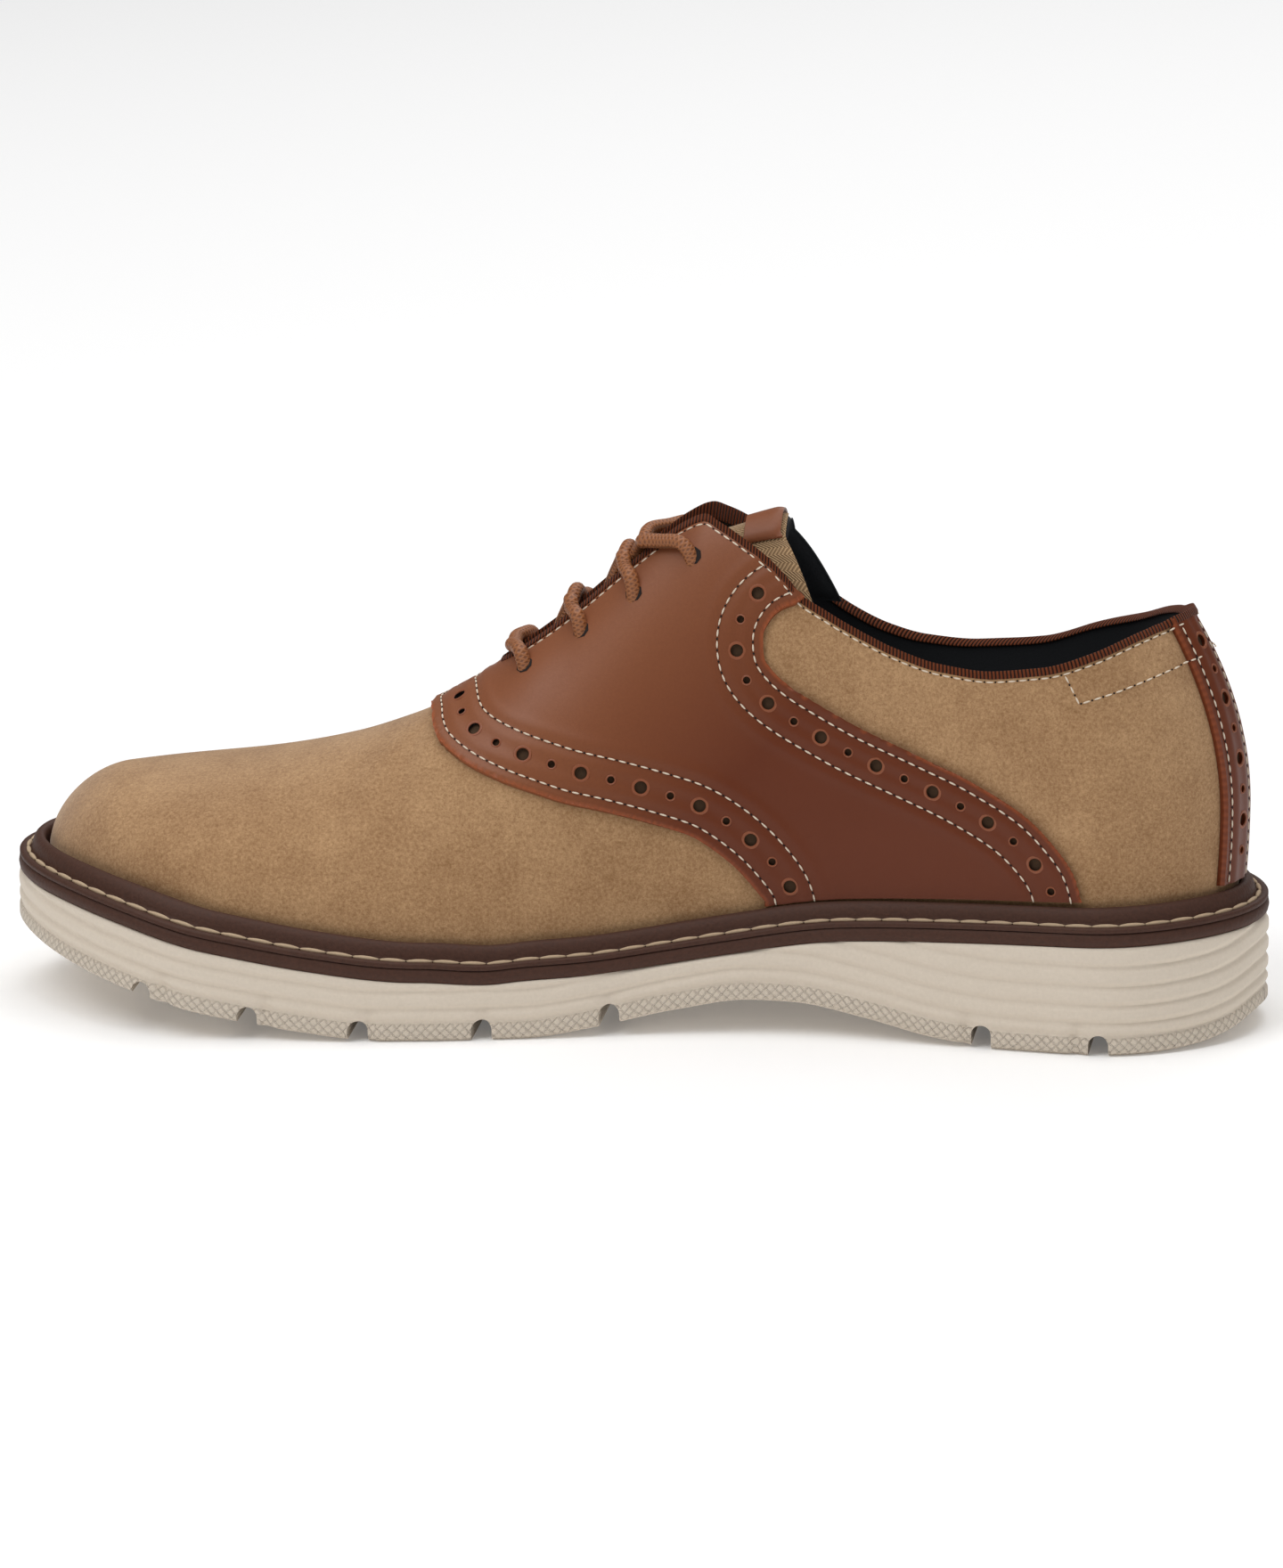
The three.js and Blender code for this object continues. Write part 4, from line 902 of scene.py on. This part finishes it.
def saddleOutline():  # a thick body with the saddle's outline, which cuts it out of the skin
    share = np.linspace(0, 1, 60)[:, None]
    sheets = []
    for side in (-1, 1):
        frontAt, frontV = edgeLine("front", side, 240, 0.99)
        rearAt, rearV = edgeLine("rear", side, 240, 0.99)
        rise = np.linspace(-1, 0, 12)[:-1]
        frontAt = np.concatenate([np.full(11, frontAt[0]), frontAt])
        frontV = np.concatenate([np.zeros(11), frontV])
        rearAt = np.concatenate([rearAt[59] + rise * 0.011, rearAt[59:]])
        rearV = np.concatenate([rearV[59] + rise * 0.022, rearV[59:]])
        at = frontAt + (rearAt - frontAt) * share
        down = np.concatenate([rise, np.linspace(0, 0.99, 240)])
        v = shareOf(at, side, np.broadcast_to(down, at.shape))
        marks = (1 - share) * (frontV - v[0]) + share * (rearV - v[-1])
        above = np.maximum(0, v - 0.02 + share**8 * (rearV - v[-1] + 0.02))
        v = np.where(down < 0, above, v + marks)
        sheets.append((lastPoint(at, side, v, 5.0), lastPoint(at, side, v, -1.2), side > 0))
    return shellPiece("saddleOutline", sheets, finishes["dark"])


heelStrip = {"halfWidth": 6.9, "shift": 3.9, "rows": 110, "columns": 24, "bottom": 0.955, "stitchAside": 4.7,
             "holes": (5.0, 7.45), "tapeClear": 2.6, "stitchEnd": 0.957, "holeEnd": 0.92}


def sewLine(line, outward):  # a row of the cream thread
    stitchRow(line, outward, saddle["stitchPitch"], saddle["stitchLength"], saddle["stitchThick"])


def buildHeelStrip():
    aside = np.linspace(-1, 1, heelStrip["columns"] + 1) * heelStrip["halfWidth"] - heelStrip["shift"]
    reach = lookUp(footprint, "medial", 0.03) * halfBall - weltAt(0)
    top = shoe["gap"] + shoe["overlay"]

    def onStrip(aside, share, clear):
        side = np.where(aside < 0, -1, 1)
        turn = np.arcsin(np.minimum(1, np.abs(aside) / reach))
        at = shoe["heelRound"] * (1 - np.cos(turn))
        upperEnd = belowRim(at, side, clear)
        return at, side, upperEnd + (heelStrip["bottom"] - upperEnd) * share

    share = np.linspace(0, 1, heelStrip["rows"])

    def lineAt(aside, clear):
        return onStrip(np.full(len(share), aside - heelStrip["shift"]), share, clear)

    at, side, v = onStrip(aside[None, :] + 0 * share[:, None], share[:, None], saddle["rimClear"])
    seams = []
    for off in (-heelStrip["stitchAside"], heelStrip["stitchAside"]):
        a, s, w = lineAt(off, heelStrip["tapeClear"])
        normal = surfaceFrame(a + 1e-3, s, w, top)[3]
        line = lastPoint(a, s, w, top)
        keep = w < heelStrip["stitchEnd"]
        seams.append(line[keep])
        sewLine(line[keep], normal[keep])
    a, s, w = lineAt(0, heelStrip["tapeClear"])
    line = lastPoint(a, s, w, top)
    normal = surfaceFrame(a + 1e-3, s, w, 0)[3]
    keep = w < heelStrip["holeEnd"]
    punchRow(line[keep], normal[keep], *heelStrip["holes"])
    cuts = []
    for off in (-heelStrip["halfWidth"], heelStrip["halfWidth"]):
        a, s, w = lineAt(off, saddle["rimClear"])
        cuts.append(lastPoint(a, s, w, top))
    outer, inner = overlayGrids(at, v, side, np.concatenate(cuts), np.concatenate(seams))
    return shellPiece("heelStripPanel", [(outer, inner, False)], finishes["saddle"]), np.concatenate(cuts)


def markEdge(piece, line):  # how far each point lies from the cut edge, for the finish
    mesh = piece.data
    points = np.array([p.co for p in mesh.vertices]) / mm
    layer = mesh.attributes.new("edge", "FLOAT", "POINT")
    layer.data.foreach_set("value", nearest(points, line[::3]).astype(np.float32))
    mesh.shade_smooth()
    mesh.set_sharp_from_angle(angle=math.radians(40))


def buildOverlays():
    panel, panelEdge = buildSaddle()
    strip, stripEdge = buildHeelStrip()
    drill = shapeOf(bpy.ops.mesh.primitive_cylinder_add, vertices=20, radius=1, depth=6)
    for piece, edge, node in ((panel, panelEdge, "saddle"), (strip, stripEdge, "heel_strip")):
        cutWith(piece, holeCopies("holeCutter", drill, 0, 1, "dark"))
        markEdge(piece, edge)
        finishPiece(piece, [node])
    print("stage: holes cut", len(holes["spots"]))
    ring = shapeOf(bpy.ops.mesh.primitive_torus_add, major_segments=22, minor_segments=8,
                   major_radius=1, minor_radius=0.2)
    finishPiece(holeCopies("holeRims", ring, 0.12, 1.2, "rim"))
    # dark discs sunk in every hole: the nubuck below with painted shade
    finishPiece(holeCopies("shadedHoleFloors", roundShape, 0.3, 0.12, "shadedHoleFloor", 1.1))


# Tape over the rim of the collar and the facings.
def overlayHeight(at):  # how high the overlays stand at the rim
    onSaddle = smooth(0.355, 0.37, at)
    onStrip = 1 - smooth(0.006, 0.014, at)
    return (shoe["gap"] + shoe["overlay"]) * np.maximum(onSaddle, onStrip)


def buildTape():
    half = np.concatenate([[0.0004], np.linspace(0.003, 0.6, 330), [0.606, 0.61, 0.6135, 0.6155]])
    ats = np.concatenate([half[::-1], [0], half])
    sides = np.concatenate([-np.ones(len(half)), [-1], np.ones(len(half))])
    wall, thick = upper["wall"] + upper["lining"], tape["thickness"]
    high = overlayHeight(ats)
    outer = high + thick
    inner = -wall - thick
    middle, reach = (outer + inner) / 2, (outer - inner) / 2

    def ring(offset, down):
        return lastPoint(ats, sides, belowRim(ats, sides, down), offset)

    outerLeg, innerLeg, skin = tape["outerLeg"], tape["innerLeg"], 0.02
    rings = [ring(high + skin, outerLeg), ring(outer - 0.15, outerLeg), ring(outer, outerLeg - 0.3)]
    for turn in np.linspace(0, np.pi, 9):
        rings.append(ring(middle + reach * np.cos(turn), -tape["crown"] * np.sin(turn)))
    rings += [ring(inner, innerLeg - 0.3), ring(inner + 0.15, innerLeg), ring(-wall - skin, innerLeg),
              ring(-wall - skin, 0.15), ring(high + skin, 0.15)]
    grid = np.stack(rings, 1)
    piece = tubePiece("collarTape", grid, arcLength(grid[:, 3]), np.zeros(len(rings)), finishes["tape"], 50)
    finishPiece(piece, ["collar_binding"])


# Seams on the quarters: one under the tape and one round the patch at the heel.
heelPatch = {"at": [0.1066, 0.1, 0.07, 0.04, 0.016, 0.003], "down": [0.0, 7.5, 7.8, 8.3, 8.4, 8.4]}


def sewQuarters():
    below = tape["outerLeg"] + tape["seam"]
    corner = np.linspace(0, 5, 240)
    for side in (-1, 1):
        at = np.linspace(0.004, 0.6, 600)
        point, _, _, normal = surfaceFrame(at, side, belowRim(at, side, below), overlayHeight(at))
        sewLine(point, normal)
        at = np.interp(corner, range(6), heelPatch["at"])
        down = np.interp(corner, range(6), heelPatch["down"]) + below
        lift = (shoe["gap"] + shoe["overlay"]) * (1 - smooth(0.014, 0.017, at))
        point, _, _, normal = surfaceFrame(at, side, belowRim(at, side, down), lift)
        sewLine(point, normal)


# Tongue: a padded dark body, woven cloth on top of it and a leather tab at its end.
tongueLine = {
    "at": [0, 0.1, 0.18, 0.74, 0.86, 1],
    "half": [0.14, 0.22, 0.3, 0.36, 0.38, 0.4],
    "middle": [2.5, 5.0, 7.2, 7.2, 6.8, 5.0],
    "side": [2.5, 4.0, 6.9, 6.9, 6.4, 5.2],
}
tongue = {"front": 0.655, "end": 0.368, "slant": 0.036, "wall": 2.3, "rows": 90, "columns": 44,
          "tabSpan": (0.862, 0.972),
          "mapHalf": 26, "clothEnd": 0.99, "clothSkew": 0.07, "clothHalf": 0.95, "tabHalf": 0.17}


def tonguePoint(along, across, lift):
    v = np.abs(across) * lookUp(tongueLine, "half", along)
    side = np.where(across < 0, -1, 1)
    end = tongue["end"] - tongue["slant"] * np.maximum(0, np.abs(across) - 0.4) / 0.6
    at = tongue["front"] + (end - tongue["front"]) * along
    depth = (lookUp(tongueLine, "middle", along) * (1 - across**2)
             + lookUp(tongueLine, "side", along) * across**2)
    return lastPoint(at, side, v, lift - depth)


def tongueSheet(name, span, half, top, bottom, edgeRound, material, rows, columns, skew=0.0):
    across = np.linspace(-half, half, columns)[None, :]
    last = span[1] - skew * np.maximum(0, across)
    along = span[0] + (last - span[0]) * np.linspace(0, 1, rows)[:, None]
    nearEnd = np.clip(1 - (last - along) / 0.03, 0, 1) ** 2
    nearSide = np.clip(1 - (half - np.abs(across)) / 0.09, 0, 1) ** 2
    tuck = edgeRound * np.clip(nearEnd + nearSide, 0, 1)
    outer = tonguePoint(along, across, top - tuck)
    inner = tonguePoint(along, across, bottom + tuck)
    run = arcLength(outer[:, columns // 2])[:, None]
    wide = np.linspace(-1, 1, columns)[None, :] * tongue["mapHalf"]
    uv = np.stack(np.broadcast_arrays(run, wide + 0 * run), -1)
    return shellPiece(name, [(outer, inner, False)], material, uv)


def buildTongue():
    rows, columns = tongue["rows"], tongue["columns"]
    body = tongueSheet("tonguePad", (0, 1), 1, -0.5, -tongue["wall"] - 0.4, 1.3, finishes["lining"],
                       rows, columns)
    finishPiece(body)
    cloth = tongueSheet("tongueCloth", (0.01, tongue["clothEnd"]), tongue["clothHalf"], 0.15, -0.6, 0.4,
                        finishes["textile"], rows, columns, tongue["clothSkew"])
    finishPiece(cloth, ["tongue"])
    half = tongue["tabHalf"] / 0.39
    tab = tongueSheet("tongueTab", tongue["tabSpan"], half, 1.9, 0.2, 0.6, finishes["saddle"], 30, 40)
    layer = tab.data.attributes.new("edge", "FLOAT", "POINT")
    layer.data.foreach_set("value", np.full(len(tab.data.vertices), 2.0, np.float32))
    finishPiece(tab, ["tongue_tab"])


# Laces: waxed round cord, in at the outside of every hole.
eyelets = {
    "along": [0.592, 0.545, 0.501, 0.452],
    "down": [0.185, 0.206, 0.222, 0.237],
    "lean": [0.012, 0.013, 0.014, 0.046],
    "hole": (2.3, 2.3, 0.16),
}
lace = {"radius": 1.75, "gap": 0.35, "crossHeight": 0.2, "sides": 16, "segments": 90}


def offRim(at, side, up):
    rim = rimShare(at, side)
    reach = np.linalg.norm(lastPoint(at, side, 0, 0) - lastPoint(at, side, rim, 0)) / rim
    return max(0.004, float(rim - up / reach))


def throughPoints(knots, count):  # centripetal spline through the knots
    p = np.array(knots, float)
    p = np.concatenate([[2 * p[0] - p[1]], p, [2 * p[-1] - p[-2]]])
    t = np.concatenate([[0], np.cumsum(np.sqrt(np.linalg.norm(np.diff(p, axis=0), axis=1)))])
    out = []
    for u in np.linspace(t[1], t[-2], count):
        i = min(max(int(np.searchsorted(t, u, side="right")) - 1, 1), len(p) - 3)
        rows, times = p[i - 1:i + 3], t[i - 1:i + 3]
        for lows, highs in (((0, 1, 2), (1, 2, 3)), ((0, 1), (2, 3)), ((1,), (2,))):
            rows = [((times[b] - u) * first + (u - times[a]) * second) / (times[b] - times[a])
                    for a, b, first, second in zip(lows, highs, rows, rows[1:])]
        out.append(rows[0])
    return np.array(out)


def cordPiece(name, knots):
    line = throughPoints(knots, lace["segments"])
    way = np.gradient(line, axis=0)
    way /= np.linalg.norm(way, axis=1)[:, None]
    up = np.cross(way[0], (0, 0, 1.0))
    rings = []
    turns = np.linspace(0, 2 * np.pi, lace["sides"] + 1)[:-1]
    for spot, ahead in zip(line, way):
        up = up - np.dot(up, ahead) * ahead
        up /= np.linalg.norm(up)
        aside = np.cross(ahead, up)
        rings.append(spot + lace["radius"] * (np.cos(turns)[:, None] * up + np.sin(turns)[:, None] * aside))
    around = np.arange(lace["sides"]) / lace["sides"]
    return tubePiece(name, np.stack(rings), arcLength(line), around, finishes["lace"])


def buildLaces():
    over = shoe["gap"] + shoe["overlay"] + lace["gap"] + lace["radius"]
    under = shoe["upperWall"] + lace["gap"] + lace["radius"]

    def knot(along, side, down, offset):
        return lastPoint(along, side, down, offset)

    def holeEnd(i, side):  # out of the hole and up towards the rim
        along, down, lean = eyelets["along"][i], eyelets["down"][i], eyelets["lean"][i]
        climb = down - offRim(along + lean, side, 0)
        return [knot(along + 0.001, side, down + 0.006, -2.4), knot(along, side, down + 0.002, 0.3),
                knot(along + 0.22 * lean, side, down - 0.22 * climb, over - 0.3),
                knot(along + 0.62 * lean, side, down - 0.62 * climb, over - 0.2)]

    def crossing(i, side, lift):
        start = eyelets["along"][i + 1] + eyelets["lean"][i + 1]
        middle, end = start + 0.008, start + 0.018
        return holeEnd(i + 1, side) + [
            knot(start - 0.003, side, offRim(start, side, -0.6), over + 0.6),
            knot(start, side, offRim(start, side, 2.9), over - 1.2),
            knot(middle, side, 0, lift),
            knot(end, -side, offRim(end, -side, 3.6), -under + 0.2),
            knot(end + 0.003, -side, offRim(end, -side, -1), -under - 0.9),
            knot(eyelets["along"][i], -side, eyelets["down"][i], -under - 0.3)]

    for i in range(3):
        high = cordPiece(f"laceRun{i + 1}a", crossing(i, -1, lace["crossHeight"]))
        finishPiece(high, [f"lace_cross_{i + 1}"])
        low = cordPiece(f"laceRun{i + 1}b", crossing(i, 1, lace["crossHeight"] - 2 * lace["radius"] + 0.3))
        finishPiece(low)
    middle = eyelets["along"][0] + eyelets["lean"][0]

    def halfBar(side):
        return holeEnd(0, side) + [
            knot(middle, side, offRim(middle, side, -0.6), over - 0.2)]
    bar = cordPiece("laceBar", halfBar(-1) + [knot(middle, -1, 0, over - 1.0)] + halfBar(1)[::-1])
    finishPiece(bar, ["lace_bar"])
    # flat dark discs at the eyelet holes, round the lace: painted shadow
    for i in range(4):
        for side in (-1, 1):
            spot, along, _, normal = surfaceFrame(np.array([eyelets["along"][i]]), side,
                                                  np.array([eyelets["down"][i] + 0.002]),
                                                  shoe["gap"] + shoe["overlay"])
            way = along[0] / np.linalg.norm(along[0])
            axes = np.stack([way, np.cross(normal[0], way), normal[0]])
            layOut(stitchMeshes["dark"], *roundShape, [spot[0]], [axes], [eyelets["hole"]])


# The room: a pale floor, four soft lights (place, size, power) and the camera.
room = {"floorSize": 14, "worldLight": 0.2, "aim": (0, 0, 0.05)}
studioLights = {"key": ((-1.1, -1.2, 2.2), 1.4, 25), "fill": ((1.6, -1.2, 1.2), 1.6, 4),
                "top": ((0.1, 0.1, 2.2), 2.0, 29), "rim": ((0.4, 1.6, 1.2), 1.2, 6)}


def buildRoom():
    bpy.ops.object.select_all(action="DESELECT")
    bpy.ops.mesh.primitive_plane_add(size=room["floorSize"])
    floor = bpy.context.object
    floor.name = "floor"
    shop = Shop("paleFloor", {"Base Color": tint(250, 250, 250), "Roughness": 0.9, "Specular IOR Level": 0.1,
                              "Emission Color": tint(255, 255, 255), "Emission Strength": 0.1})
    floor.data.materials.append(shop.material)
    for name, (spot, size, power) in studioLights.items():
        bpy.ops.object.light_add(type="AREA", location=spot)
        light = bpy.context.object
        light.name = name + "Light"
        light.data.energy, light.data.size = power, size
        light.rotation_euler = vectorTurn(np.array(room["aim"]) - spot)
    world = bpy.data.worlds.new("studio")
    bpy.context.scene.world = world
    world.use_nodes = True
    world.node_tree.nodes["Background"].inputs[0].default_value = (1, 1, 1, 1)
    world.node_tree.nodes["Background"].inputs[1].default_value = room["worldLight"]
    bpy.context.scene.view_settings.view_transform = "Standard"


def vectorTurn(aim):  # turned so that it looks along aim
    return Vector(aim).to_track_quat("-Z", "Y").to_euler()


camera = {"azimuth": 7.5, "elevation": 14, "distance": 2.4, "focalPixels": 11290, "tall": 1760,
          "targetPixel": (720, 844), "target": (0, 0, 0.06), "wide": 1440}


def buildCamera():
    a, e = math.radians(camera["azimuth"]), math.radians(camera["elevation"])
    back = np.array((math.sin(a) * math.cos(e), -math.cos(a) * math.cos(e), math.sin(e)))
    bpy.ops.object.camera_add(location=tuple(np.array(camera["target"]) + camera["distance"] * back))
    eye = bpy.context.object
    eye.rotation_euler = vectorTurn(-back)
    eye.data.sensor_fit = "AUTO"
    eye.data.sensor_width = 36
    eye.data.lens = 36 * camera["focalPixels"] / camera["tall"]
    eye.data.shift_x = (camera["wide"] / 2 - camera["targetPixel"][0]) / camera["tall"]
    eye.data.shift_y = (camera["targetPixel"][1] - camera["tall"] / 2) / camera["tall"]
    eye.data.clip_end = 50
    bpy.context.scene.camera = eye


buildCamera()
buildRoom()
print("stage: room and camera")
buildSole()
buildWelt()
print("stage: sole and welt")
buildUpper()
print("stage: upper")
buildOverlays()
buildTape()
sewQuarters()
print("stage: overlays and tape")
buildTongue()
buildLaces()
joinStitches()
print("stage: tongue, laces and stitches")
